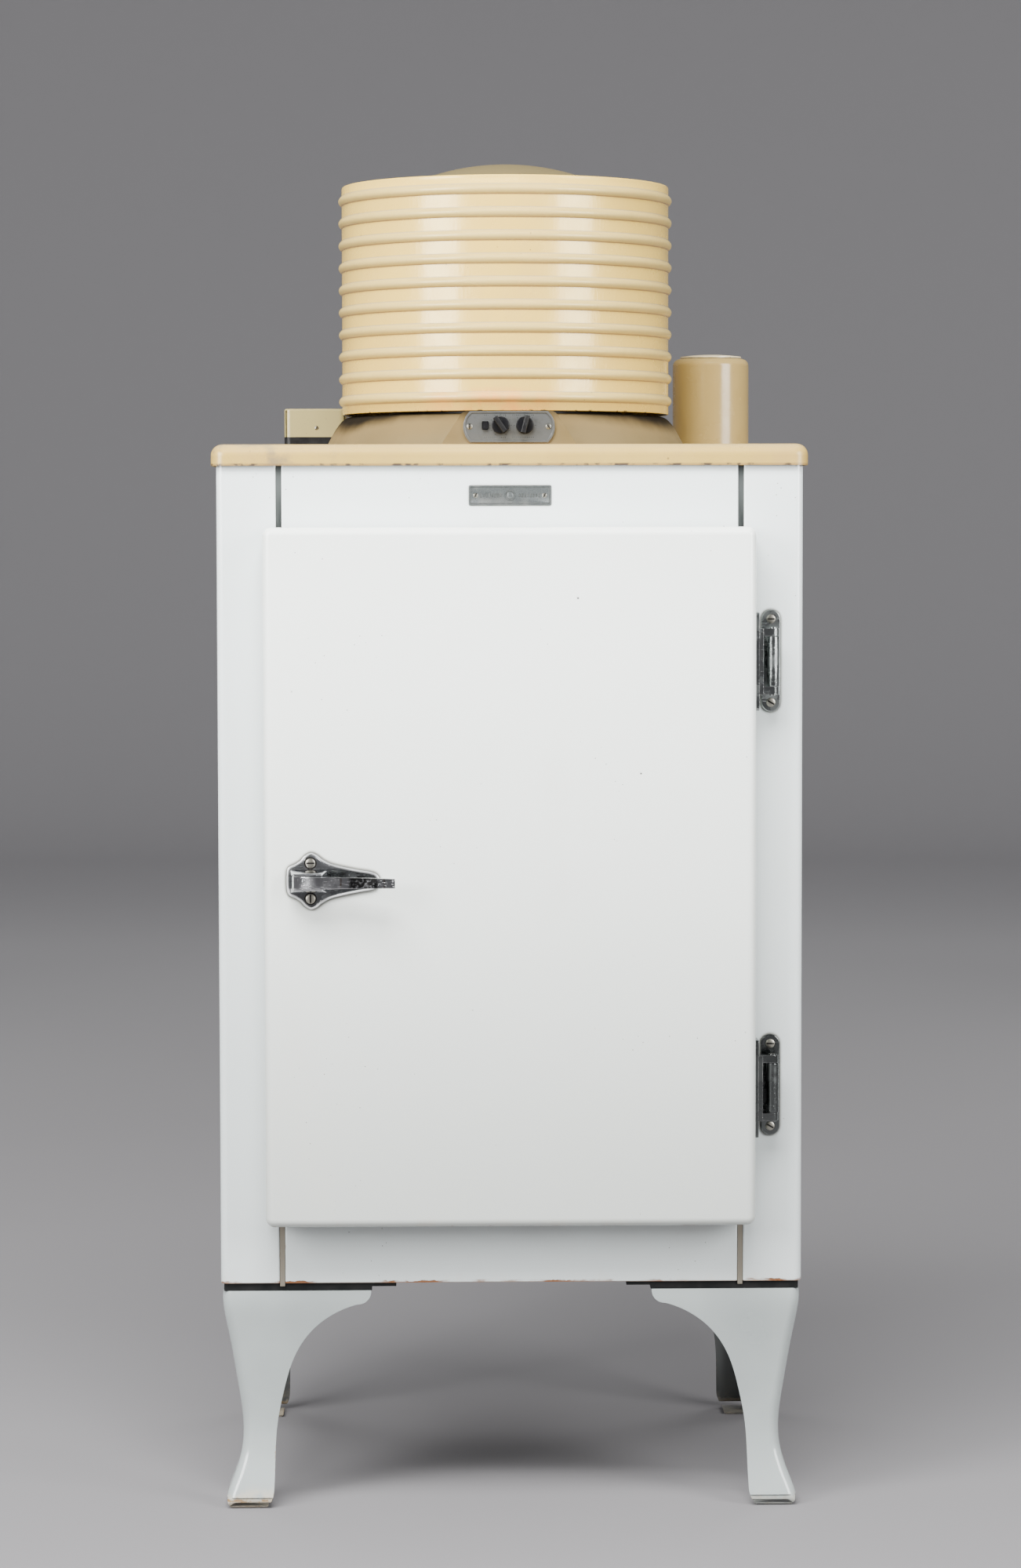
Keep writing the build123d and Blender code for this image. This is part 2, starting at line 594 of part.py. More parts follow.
def condenser_drum():
    inner_r = DRUM_R - DRUM_SHEET
    return turned([(inner_r, DRUM_BOTTOM_Z), (DRUM_R, DRUM_BOTTOM_Z), (DRUM_R, DRUM_TOP_Z),
                   (inner_r, DRUM_TOP_Z)], 0, UNIT_Y)


def condenser_coil():
    """Half-round tube turns brazed round the outside of the drum."""
    turns = []
    for i in range(COIL_TURNS):
        z = COIL_FIRST_Z + i * COIL_PITCH
        arc = ThreePointArc((DRUM_R, z - COIL_HALF_HEIGHT), (DRUM_R + COIL_STAND, z),
                            (DRUM_R, z + COIL_HALF_HEIGHT))
        chord = Line((DRUM_R, z + COIL_HALF_HEIGHT), (DRUM_R, z - COIL_HALF_HEIGHT))
        section = Plane.XZ * make_face([arc, chord])
        turns.append(Pos(0, UNIT_Y, 0) * revolve(section, Axis.Z))
    return Compound(turns)


def drum_brackets():
    """Straps from the casing to the inside of the drum, low and high, at four places."""
    straps = []
    reach = DRUM_R - DRUM_SHEET - 0.6
    for quarter in range(4):
        turn = 45 + 90 * quarter
        for z in (1378.0, 1596.0):
            strap = block(CASING_R + 0.2, reach, -1.5, 1.5, z, z + 18)
            pad = block(CASING_R + 0.2, CASING_R + 2.2, -9, 9, z, z + 18)
            foot = block(reach - 2, reach, -9, 9, z, z + 18)
            straps.append(Pos(0, UNIT_Y, 0) * Rot(0, 0, turn) * (strap + pad + foot))
    return Compound(straps)


def motor_stator():
    return turned([(60, 1482), (CASING_R - CASING_WALL - 0.1, 1482),
                   (CASING_R - CASING_WALL - 0.1, 1556), (60, 1556)], 0, UNIT_Y)


def motor_rotor():
    """Shaft, rotor and crank, in one piece."""
    rotor = rod_z(0, UNIT_Y, 1400, 1592, 10) + rod_z(0, UNIT_Y, 1480, 1558, 59)
    rotor += rod_z(0, UNIT_Y, 1388, 1401, 21)
    return rotor + rod_z(8, UNIT_Y, 1374, 1389, 5)


def compressor_block():
    """Bearing plate across the casing, with the cylinder hung below it."""
    plate = rod_z(0, UNIT_Y, 1406, 1418, CASING_R - CASING_WALL - 0.1)
    hub = rod_z(0, UNIT_Y, 1402, 1446, 26)
    cylinder = block(38, 100, UNIT_Y - 26, UNIT_Y + 26, 1354, 1407)
    body = plate + hub + cylinder
    body -= rod_z(0, UNIT_Y, 1400, 1450, 10.05)
    return body - rod_x(37, 92, UNIT_Y, 1381, 18.05)


def compressor_piston():
    """Piston and yoke, at the middle of the stroke."""
    piston = rod_x(46, 76, UNIT_Y, 1381, 18.0) + rod_x(18, 47, UNIT_Y, 1381, 5)
    yoke = rod_z(0, UNIT_Y, 1376, 1386.5, 21)
    return piston + yoke - rod_z(0, UNIT_Y, 1375, 1388, 15)


def control_plate():
    """Plate with rounded ends and a raised rim."""
    half = CONTROL_HALF_WIDTH
    tall = CONTROL_HALF_HEIGHT
    front = CONTROL_Y - CONTROL_PLATE

    def slab(inset, y0, y1):
        bulge = 8.5
        side_x = half - inset
        top = tall - inset
        shoulder = side_x - bulge
        lines = [Line((-shoulder, top), (shoulder, top)),
                 ThreePointArc((shoulder, top), (side_x, 0), (shoulder, -top)),
                 Line((shoulder, -top), (-shoulder, -top)),
                 ThreePointArc((-shoulder, -top), (-side_x, 0), (-shoulder, top))]
        face = Plane.XZ * make_face(lines)
        return extrude(Pos(0, y0, CONTROL_Z) * face, amount=-(y1 - y0))

    plate = slab(0.0, front, CONTROL_Y) - slab(2.2, front - 1, front + 1.2)
    for x in KNOB_XS:
        plate -= rod_y(x, front - 1, CONTROL_Y + 1, KNOB_Z, KNOB_SHAFT_R + 0.6)
    return plate - block(BUTTON_X - 4, BUTTON_X + 4, front - 1, CONTROL_Y + 1,
                         BUTTON_Z - 5, BUTTON_Z + 5)


def pointer_knob(x, turn):
    """Round knob with a pointer bar, on a shaft that goes into the switch housing."""
    back = CONTROL_Y - CONTROL_PLATE + 0.4
    skirt = rod_y(x, back - 4, back, KNOB_Z, KNOB_R)
    skirt = fillet(skirt.edges().group_by(Axis.Y)[0], 1.2)
    bar = block(-3.2, 3.2, back - KNOB_DEPTH, back - 3.5, -KNOB_R + 1.5, KNOB_R + 1.2)
    bar = fillet(bar.edges().filter_by(Axis.Z).group_by(Axis.Y)[0], 1.6)
    bar = Pos(x, 0, KNOB_Z) * Rot(0, turn, 0) * bar
    return skirt + bar + rod_y(x, back - 1, CONTROL_Y + 17, KNOB_Z, KNOB_SHAFT_R)


def reset_button():
    front = CONTROL_Y - CONTROL_PLATE - 3
    return block(BUTTON_X - 3.4, BUTTON_X + 3.4, front, CONTROL_Y + 5,
                 BUTTON_Z - 4.4, BUTTON_Z + 4.4)


def float_chamber():
    """Can on a raised ring, closed below, with a rounded shoulder and an open neck."""
    neck = FLOAT_LID_R + 1
    outer = rod_z(FLOAT_X, FLOAT_Y, PAN_TOP_Z, FLOAT_TOP_Z, FLOAT_R)
    outer = fillet(outer.edges().group_by(Axis.Z)[-1], 10)
    outer += turned([(0, PAN_TOP_Z), (FLOAT_R + 5, PAN_TOP_Z), (FLOAT_R + 3.5, PAN_TOP_Z + 6),
                     (0, PAN_TOP_Z + 6)], FLOAT_X, FLOAT_Y)
    outer -= rod_z(FLOAT_X, FLOAT_Y, PAN_TOP_Z + 4, FLOAT_TOP_Z - 12, FLOAT_R - 3)
    return outer - rod_z(FLOAT_X, FLOAT_Y, FLOAT_TOP_Z - 13, FLOAT_TOP_Z + 1, neck - 6)


def float_chamber_lid():
    dome = Pos(FLOAT_X, FLOAT_Y, FLOAT_TOP_Z + 5.5 - 300) * Sphere(300)
    disc = rod_z(FLOAT_X, FLOAT_Y, FLOAT_TOP_Z + 0.8, FLOAT_TOP_Z + 10, FLOAT_LID_R) & dome
    return disc + rod_z(FLOAT_X, FLOAT_Y, FLOAT_TOP_Z - 8, FLOAT_TOP_Z + 1, FLOAT_LID_R - 5.3)


def float_ball():
    return Pos(FLOAT_X, FLOAT_Y, PAN_TOP_Z + 40) * Sphere(34)


def relay_box_base():
    box = block(BOX_LEFT_X, BOX_RIGHT_X, BOX_FRONT_Y, BOX_BACK_Y, PAN_TOP_Z, BOX_SPLIT_Z)
    box = fillet(box.edges().filter_by(Axis.Z), BOX_CORNER_R)
    hollow = block(BOX_LEFT_X + 4, BOX_RIGHT_X - 4, BOX_FRONT_Y + 4, BOX_BACK_Y - 4,
                   PAN_TOP_Z + 4, BOX_SPLIT_Z + 1)
    middle_x = (BOX_LEFT_X + BOX_RIGHT_X) / 2
    return box - hollow - rod_y(middle_x, BOX_BACK_Y - 5, BOX_BACK_Y + 1, INLET_Z, 6.0)


def relay_box_cover():
    box = block(BOX_LEFT_X, BOX_RIGHT_X, BOX_FRONT_Y, BOX_BACK_Y, BOX_SPLIT_Z + 0.1, BOX_TOP_Z)
    box = fillet(box.edges().filter_by(Axis.Z), BOX_CORNER_R)
    box = fillet(box.edges().group_by(Axis.Z)[-1], 2.5)
    return box - block(BOX_LEFT_X + 2, BOX_RIGHT_X - 2, BOX_FRONT_Y + 2, BOX_BACK_Y - 2,
                       BOX_SPLIT_Z - 1, BOX_TOP_Z - 2)


def cord_bushing():
    """Flanged sleeve where a supply lead would enter."""
    middle_x = (BOX_LEFT_X + BOX_RIGHT_X) / 2
    z = INLET_Z
    sleeve = rod_y(middle_x, BOX_BACK_Y - 8, BOX_BACK_Y + 9, z, 5.95)
    flange = rod_y(middle_x, BOX_BACK_Y + 0.05, BOX_BACK_Y + 4, z, 8.0)
    return sleeve + flange - rod_y(middle_x, BOX_BACK_Y - 9, BOX_BACK_Y + 10, z, INLET_R)


# ---- trim and hardware --------------------------------------------------------------------
def nameplate():
    """Blank plate with a raised rim, notched at its corners, and a round boss in the middle."""
    half = 50.0
    z0 = 1238.6
    z1 = 1262.6
    plate = block(-half, half, FACE_Y - 1.6, FACE_Y, z0, z1)
    field = block(3 - half, half - 3, FACE_Y - 2, FACE_Y - 1.0, z0 + 3, z1 - 3)
    corners = []
    for x in (-half + 3, half - 3):
        for z in (z0 + 3, z1 - 3):
            corners.append(block(x - 3, x + 3, FACE_Y - 1.6, FACE_Y - 0.9, z - 3, z + 3))
    plate -= field
    for corner in corners:
        plate += corner
    return plate + rod_y(0, FACE_Y - 1.7, FACE_Y - 0.5, (z0 + z1) / 2, 7.5)


def cabinet_screws():
    """Screws of the nameplate, control plate, box cover and cabinet hinge leaves."""
    screws = [slotted_screw(-42, FACE_Y - 1.65, 1250.6, 2.7, 0),
              slotted_screw(42, FACE_Y - 1.65, 1250.6, 2.7, 20),
              slotted_screw(-48.5, CONTROL_Y - CONTROL_PLATE + 1.15, 1336.5, 2.8, 90),
              slotted_screw(48.5, CONTROL_Y - CONTROL_PLATE + 1.15, 1336.5, 2.8, 90),
              slotted_screw(-246, BOX_FRONT_Y - 0.05, 1341, 2.5, 60)]
    for centre_z in HINGE_CENTRES_Z:
        for step, turn in ((1, 0), (-1, 150)):
            z = centre_z + step * HINGE_SCREW_OFFSET_Z
            screws.append(slotted_screw(HINGE_PIN_X - 0.6, FACE_Y - 4.05, z, 5.6, turn))
    return Compound(screws)


def hinge_cabinet_leaves():
    """Leaves with rounded ends on the cabinet's face, each with the middle knuckle."""
    leaves = []
    pin_y = FACE_Y - HINGE_PIN_OFFSET
    for z in HINGE_CENTRES_Z:
        radius = 11.7
        reach = HINGE_LEAF_HALF_HEIGHT - radius
        centre_x = HINGE_PIN_X - 0.6
        plate = block(centre_x - radius, centre_x + radius, FACE_Y - 4, FACE_Y, z - reach, z + reach)
        plate += rod_y(centre_x, FACE_Y - 4, FACE_Y, z - reach, radius)
        plate += rod_y(centre_x, FACE_Y - 4, FACE_Y, z + reach, radius)
        plate = fillet(plate.edges().group_by(Axis.Y)[0], 1.4)
        low = z - HINGE_BARREL_HALF_HEIGHT
        high = z + HINGE_BARREL_HALF_HEIGHT
        barrel = rod_z(HINGE_PIN_X, pin_y, low, high, HINGE_BARREL_R)
        barrel = fillet(barrel.edges(), 1.2)
        web = block(HINGE_PIN_X - 2, HINGE_PIN_X + HINGE_BARREL_R - 0.3, pin_y, FACE_Y - 3,
                    low + 2, high - 2)
        leaf = plate + barrel + web
        leaf -= rod_z(HINGE_PIN_X, pin_y, low - 1, high + 1, HINGE_PIN_R + HINGE_CLEARANCE)
        leaves.append(leaf)
    return Compound(leaves)


def hinge_door_leaves():
    """Leaves on the door's edge, each with two arms that carry the outer knuckles."""
    leaves = []
    pin_y = FACE_Y - HINGE_PIN_OFFSET
    for z in HINGE_CENTRES_Z:
        strip = block(DOOR_RIGHT_X + 0.05, DOOR_RIGHT_X + 4, FACE_Y - 46, FACE_Y - 14, z - 60, z + 60)
        strip = fillet(strip.edges().filter_by(Axis.X), 4)
        leaf = strip + block(DOOR_RIGHT_X + 2, DOOR_RIGHT_X + 9.5, FACE_Y - 40, FACE_Y - 34,
                             z - 40, z + 40)
        start = HINGE_BARREL_HALF_HEIGHT + HINGE_ARM_GAP
        for side in (-1, 1):
            z0 = z + side * start
            z1 = z + side * (start + HINGE_ARM_HEIGHT)
            low = min(z0, z1)
            high = max(z0, z1)
            arm = block(DOOR_RIGHT_X + 2, HINGE_PIN_X, pin_y - 7, pin_y + 5, low, high)
            knuckle = rod_z(HINGE_PIN_X, pin_y, low, high, HINGE_BARREL_R - 0.5)
            leaf += arm + knuckle
        leaf -= rod_z(HINGE_PIN_X, pin_y, z - 50, z + 50, HINGE_PIN_R)
        leaves.append(leaf)
    return Compound(leaves)


def hinge_pins():
    pins = []
    pin_y = FACE_Y - HINGE_PIN_OFFSET
    for z in HINGE_CENTRES_Z:
        reach = HINGE_BARREL_HALF_HEIGHT + HINGE_ARM_GAP + HINGE_ARM_HEIGHT
        pin = rod_z(HINGE_PIN_X, pin_y, z - reach, z + reach, HINGE_PIN_R)
        for end in (z - reach - 1.5, z + reach):
            pin += rod_z(HINGE_PIN_X, pin_y, end, end + 1.5, HINGE_PIN_R + 1.8)
        pins.append(pin)
    return Compound(pins)


# ---- door ---------------------------------------------------------------------------------
def door_outer_pan():
    y0 = FACE_Y - DOOR_FRONT
    y1 = FACE_Y - DOOR_BACK
    outer = block(DOOR_LEFT_X, DOOR_RIGHT_X, y0, y1, DOOR_BOTTOM_Z, DOOR_TOP_Z)
    outer = fillet(outer.edges().filter_by(Axis.Y), DOOR_CORNER_R)
    outer = fillet(outer.edges().group_by(Axis.Y)[0], DOOR_EDGE_R)
    t = DOOR_SKIN
    inner = block(DOOR_LEFT_X + t, DOOR_RIGHT_X - t, y0 + t, y1 + 5, DOOR_BOTTOM_Z + t, DOOR_TOP_Z - t)
    inner = fillet(inner.edges().filter_by(Axis.Y), DOOR_CORNER_R - t)
    inner = fillet(inner.edges().group_by(Axis.Y)[0], DOOR_EDGE_R - t)
    return outer - inner - latch_slot(y0 - 1, y0 + t + 1)


def latch_slot(y0, y1):
    """Hole for the handle's lug."""
    return block(LATCH_PIVOT_X - 7, LATCH_PIVOT_X + 13, y0, y1, LATCH_Z - 4.5, LATCH_Z + 4.5)


def bolt_hole(y0, y1):
    """Hole in the inner panel for the bolt's stem."""
    return block(-292.5, -277.5, y0, y1, LATCH_Z - 7.5, LATCH_Z + 7.5)


def door_inner_panel():
    """Inner sheet with a raised middle that stands into the opening."""
    t = DOOR_SKIN
    y0 = FACE_Y - DOOR_BACK - t
    y1 = FACE_Y - DOOR_BACK
    inset = t + 0.2
    sheet = block(DOOR_LEFT_X + inset, DOOR_RIGHT_X - inset, y0, y1,
                  DOOR_BOTTOM_Z + inset, DOOR_TOP_Z - inset)
    sheet = fillet(sheet.edges().filter_by(Axis.Y), DOOR_CORNER_R - t)

    def dyke(shrink, back, front):
        shape = block(shrink - 250, 250 - shrink, front, back, 402 + shrink, 1170 - shrink)
        shape = fillet(shape.edges().filter_by(Axis.Y), 30 - shrink)
        return fillet(shape.edges().group_by(Axis.Y)[-1], 10 - shrink)

    sheet += dyke(0, y1 + DYKE_DEPTH, y0)
    sheet -= dyke(t, y1 + DYKE_DEPTH - t, y0 - 5)
    return sheet - bolt_hole(y0 - 1, y1 + 1)


def door_insulation():
    """Slab in the door, cut away round the latch."""
    t = DOOR_SKIN + 0.2
    y0 = FACE_Y - DOOR_FRONT + t
    y1 = FACE_Y - DOOR_BACK - t
    slab = block(DOOR_LEFT_X + t, DOOR_RIGHT_X - t, y0, y1, DOOR_BOTTOM_Z + t, DOOR_TOP_Z - t)
    slab = fillet(slab.edges().filter_by(Axis.Y), DOOR_CORNER_R - t)
    slab = fillet(slab.edges().group_by(Axis.Y)[0], DOOR_EDGE_R - t)
    pocket = block(-296, -228, y0 - 1, y1 + 1, LATCH_Z - 14, LATCH_Z + 14)
    return slab - pocket


def door_gasket():
    y0 = FACE_Y - DOOR_BACK
    y1 = FACE_Y - GASKET_CLEARANCE
    half = OPENING_HALF_WIDTH + 1 + GASKET_WIDTH
    z0 = OPENING_BOTTOM_Z - 3 - GASKET_WIDTH
    z1 = OPENING_TOP_Z + 3 + GASKET_WIDTH
    return ring_frame(half, z0, z1, GASKET_WIDTH, y0, y1)


ESCUTCHEON_HALF = [(-159.5, 0), (-161.8, 7), (-169, 11.3), (-186, 14.2), (-204.5, 18), (-219, 21.8),
                   (-229, 27), (-235.5, 32.2), (-243, 35), (-250.5, 31), (-256, 25), (-262.5, 21),
                   (-269, 18), (-272.3, 12.5), (-273, 0)]


def inset_loop(points, amount):
    """A closed loop, given counter-clockwise, moved inwards by amount."""
    moved = []
    for i, (x, z) in enumerate(points):
        before = points[i - 1]
        after = points[(i + 1) % len(points)]
        along = Vector(after[0] - before[0], after[1] - before[1]).normalized()
        moved.append((x - along.Y * amount, z + along.X * amount))
    return moved


def cheek(side):
    """One half of the hood over the handle's pivot, which narrows towards the front."""
    door_y = FACE_Y - DOOR_FRONT
    near = HANDLE_HEIGHT / 2 + 0.3
    faces = []
    for y, x0, x1, far in ((door_y - 1, -268, -221, 14.5), (door_y - 24, -264, -229, 10.0)):
        z0 = LATCH_Z + side * near
        z1 = LATCH_Z + side * far
        corners = Polyline((x0, z0), (x1, z0), (x1, z1), (x0, z1), close=True)
        faces.append(Pos(0, y, 0) * (Plane.XZ * make_face(corners)))
    return loft(faces, ruled=True)


def latch_escutcheon():
    """Lobed base plate with a raised rim and two cheeks that hold the handle's pivot pin."""
    door_y = FACE_Y - DOOR_FRONT
    rim_width = 2.6
    field_depth = 1.8
    z = LATCH_Z
    lower = [(x, -height) for x, height in reversed(ESCUTCHEON_HALF[1:-1])]
    outline = ESCUTCHEON_HALF + lower

    def slab(inset, y0, y1):
        face = Plane.XZ * make_face(Spline(*inset_loop(outline, inset), periodic=True))
        return extrude(Pos(0, y0, z) * face, amount=-(y1 - y0))

    front_y = door_y - LATCH_PLATE
    plate = slab(0.0, front_y, door_y)
    plate -= slab(rim_width, front_y - 1, front_y + field_depth)
    plate += cheek(-1) + cheek(1)
    pin_y = door_y - LATCH_PIVOT_OFFSET
    plate -= rod_z(LATCH_PIVOT_X, pin_y, z - 20, z + 20, 2.5)
    plate += rod_z(LATCH_PIVOT_X, pin_y, z - 13, z + 13, 2.5)
    plate -= latch_slot(door_y - 3, door_y + 1)
    return plate + rod_y(-172, door_y - 5, door_y - 1, z + 7.5, 3.2)


def door_handle():
    """Lever with a pivot eye, a bowed grip that narrows to its tip, and a lug for the bolt."""
    door_y = FACE_Y - DOOR_FRONT
    pivot_y = door_y - LATCH_PIVOT_OFFSET
    root = HANDLE_HEIGHT / 2
    end = HANDLE_TIP_HEIGHT / 2
    tip_y = door_y - HANDLE_TIP_OFFSET
    front = Spline((-265, pivot_y), (-261, door_y - 28), (-240, door_y - 39), (-205, door_y - 36.5),
                   (-165, door_y - 41), (HANDLE_TIP_X, tip_y))
    tip = Line((HANDLE_TIP_X, tip_y), (HANDLE_TIP_X, tip_y + 8))
    back = Spline((HANDLE_TIP_X, tip_y + 8), (-165, door_y - 33), (-205, door_y - 28.5),
                  (-232, door_y - 27), (-246, door_y - 22), (-251, pivot_y))
    eye = ThreePointArc((-251, pivot_y), (LATCH_PIVOT_X, pivot_y + 7), (-265, pivot_y))
    lever = extrude(Pos(0, 0, LATCH_Z - root) * make_face([front, tip, back, eye]), amount=2 * root)
    taper = Polyline((-270, -root), (-240, -root), (HANDLE_TIP_X + 5, -end), (HANDLE_TIP_X + 5, end),
                     (-240, root), (-270, root), close=True)
    lever &= extrude(Pos(0, tip_y - 5, LATCH_Z) * (Plane.XZ * make_face(taper)), amount=-70)
    lug = block(LATCH_PIVOT_X - 2.5, LATCH_PIVOT_X + 2.5, pivot_y + 3, door_y + 8,
                LATCH_Z - 3, LATCH_Z + 3)
    hole = rod_z(LATCH_PIVOT_X, pivot_y, LATCH_Z - root - 1, LATCH_Z + root + 1, 2.55)
    return lever + lug - hole


def latch_bolt():
    """Sliding bolt inside the door: plate with a window, stem and hooked tongue."""
    door_y = FACE_Y - DOOR_FRONT
    low = LATCH_Z - 6
    high = LATCH_Z + 6
    plate = block(-290, -238, door_y + 5, door_y + 11, low, high)
    plate -= block(LATCH_PIVOT_X - 5.5, LATCH_PIVOT_X + 7.5, door_y + 4, door_y + 12,
                   LATCH_Z - 4, LATCH_Z + 4)
    stem = block(-290, -286.5, door_y + 5, FACE_Y - 2.5, low, high)
    tongue = block(-293.5, -286.5, FACE_Y - 5, FACE_Y - 2.5, low, high)
    return plate + stem + tongue


def latch_strike():
    """Keeper on the cabinet's face, behind the door's edge."""
    base = block(-299.5, -292, FACE_Y - 1.2, FACE_Y, LATCH_Z - 22, LATCH_Z + 22)
    wall = block(-299.5, -297.5, FACE_Y - 7, FACE_Y, LATCH_Z - 14, LATCH_Z + 14)
    lip = block(-299.5, -294.2, FACE_Y - 7, FACE_Y - 5.6, LATCH_Z - 14, LATCH_Z + 14)
    return base + wall + lip


def door_screws():
    """Screws of the latch's base plate."""
    y = FACE_Y - DOOR_FRONT - 2.25
    return Compound([slotted_screw(-243.5, y, LATCH_Z + 23, 4.6, 0),
                     slotted_screw(-243.5, y, LATCH_Z - 23, 4.6, 90)])


# ---- writing the parts --------------------------------------------------------------------
os.makedirs("parts", exist_ok=True)

right_side = side_panel()
save(right_side, "side_panel_right")
save(mirrored(right_side), "side_panel_left")
save(front_panel(OPENING_TOP_Z + BREAKER_MARGIN + 0.5, PANEL_TOP_Z), "header_panel")
save(front_panel(CABINET_BOTTOM_Z, OPENING_BOTTOM_Z - BREAKER_MARGIN - 0.5), "sill_panel")
save(seam_strips(), "seam_strips")
save(back_panel(), "back_panel")
save(bottom_panel(), "bottom_panel")
save(cork_insulation(), "cork_insulation")
save(liner(), "liner")
save(breaker_frame(), "breaker_frame")
save(top_pan(), "top_pan")

corner_leg = leg()
for left in (True, False):
    for front in (True, False):
        label = ("front" if front else "rear") + ("_left" if left else "_right")
        save(placed_leg(corner_leg, left, front), "leg_" + label)
save(leg_plates(), "leg_plates")

save(Compound([wire_shelf(z) for z in SHELVES_Z]), "wire_shelves")
save(shelf_studs(), "shelf_studs")
save(unit_plug(), "unit_plug")
save(refrigerant_lines(), "refrigerant_lines")
save(evaporator(), "evaporator")
save(ice_tray(TRAY_FLOORS_Z[0]), "ice_tray_lower")
save(ice_tray(TRAY_FLOORS_Z[1]), "ice_tray_upper")
save(drip_tray(), "drip_tray")

save(unit_base(), "unit_base")
save(control_switch_body(), "control_switch_body")
save(compressor_casing(), "compressor_casing")
save(casing_dome(), "casing_dome")
save(condenser_drum(), "condenser_drum")
save(condenser_coil(), "condenser_coil")
save(drum_brackets(), "drum_brackets")
save(motor_stator(), "motor_stator")
save(motor_rotor(), "motor_rotor")
save(compressor_block(), "compressor_block")
save(compressor_piston(), "compressor_piston")
save(control_plate(), "control_plate")
save(pointer_knob(KNOB_XS[0], -35), "thermostat_knob")
save(pointer_knob(KNOB_XS[1], 15), "switch_knob")
save(reset_button(), "reset_button")
save(float_chamber(), "float_chamber")
save(float_chamber_lid(), "float_chamber_lid")
save(float_ball(), "float_ball")
save(relay_box_base(), "relay_box_base")
save(relay_box_cover(), "relay_box_cover")
save(cord_bushing(), "cord_bushing")

save(nameplate(), "nameplate")
save(cabinet_screws(), "cabinet_screws")
save(hinge_cabinet_leaves(), "hinge_cabinet_leaves")
save(hinge_door_leaves(), "hinge_door_leaves")
save(hinge_pins(), "hinge_pins")
save(door_outer_pan(), "door_outer_pan")
save(door_inner_panel(), "door_inner_panel")
save(door_insulation(), "door_insulation")
save(door_gasket(), "door_gasket")
save(latch_escutcheon(), "latch_escutcheon")
save(door_handle(), "door_handle")
save(latch_bolt(), "latch_bolt")
save(latch_strike(), "latch_strike")
save(door_screws(), "door_screws")
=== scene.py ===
"""Looks of an early electric refrigerator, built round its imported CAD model."""

import math

import bmesh
import bpy
from mathutils import Matrix, Vector


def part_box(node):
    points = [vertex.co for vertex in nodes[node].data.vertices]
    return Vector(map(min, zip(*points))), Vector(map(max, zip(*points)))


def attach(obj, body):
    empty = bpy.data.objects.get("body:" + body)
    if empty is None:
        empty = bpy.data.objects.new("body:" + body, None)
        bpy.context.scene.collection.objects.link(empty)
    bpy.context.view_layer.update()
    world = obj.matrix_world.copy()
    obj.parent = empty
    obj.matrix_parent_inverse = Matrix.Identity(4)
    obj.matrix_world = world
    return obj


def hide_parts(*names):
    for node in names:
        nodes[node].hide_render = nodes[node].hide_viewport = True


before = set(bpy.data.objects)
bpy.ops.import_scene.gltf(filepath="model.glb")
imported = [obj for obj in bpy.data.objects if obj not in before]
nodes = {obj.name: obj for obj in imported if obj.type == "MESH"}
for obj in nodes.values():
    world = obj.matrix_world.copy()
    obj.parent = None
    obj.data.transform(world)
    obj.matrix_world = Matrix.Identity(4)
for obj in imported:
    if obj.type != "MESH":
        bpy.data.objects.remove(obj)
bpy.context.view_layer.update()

MM = 0.001


def corners_of(node):
    """The low corner, the high corner and the middle of a CAD node's box."""
    low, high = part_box(node)
    return low, high, (low + high) / 2


FACE_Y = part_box("header_panel")[0][1]
DOOR_FRONT_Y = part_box("door_outer_pan")[0][1]
DRUM_LOW, DRUM_HIGH, DRUM_MIDDLE = corners_of("condenser_drum")
UNIT_X = DRUM_MIDDLE.x
UNIT_Y = DRUM_MIDDLE.y
DRUM_R = (DRUM_HIGH.x - DRUM_LOW.x) / 2
RIB_COUNT = 10
RIB_PITCH = 0.0284
RIB_HALF = 0.0062
RIB_STAND = 0.0042
RIB_FIRST_Z = corners_of("condenser_coil")[2].z - RIB_PITCH * (RIB_COUNT - 1) / 2
SEAM_INNER_X = 0.2785
SEAM_OUTER_X = 0.2858
PAN_EDGE_Z = 1.2885
SCORCH_X = -0.022


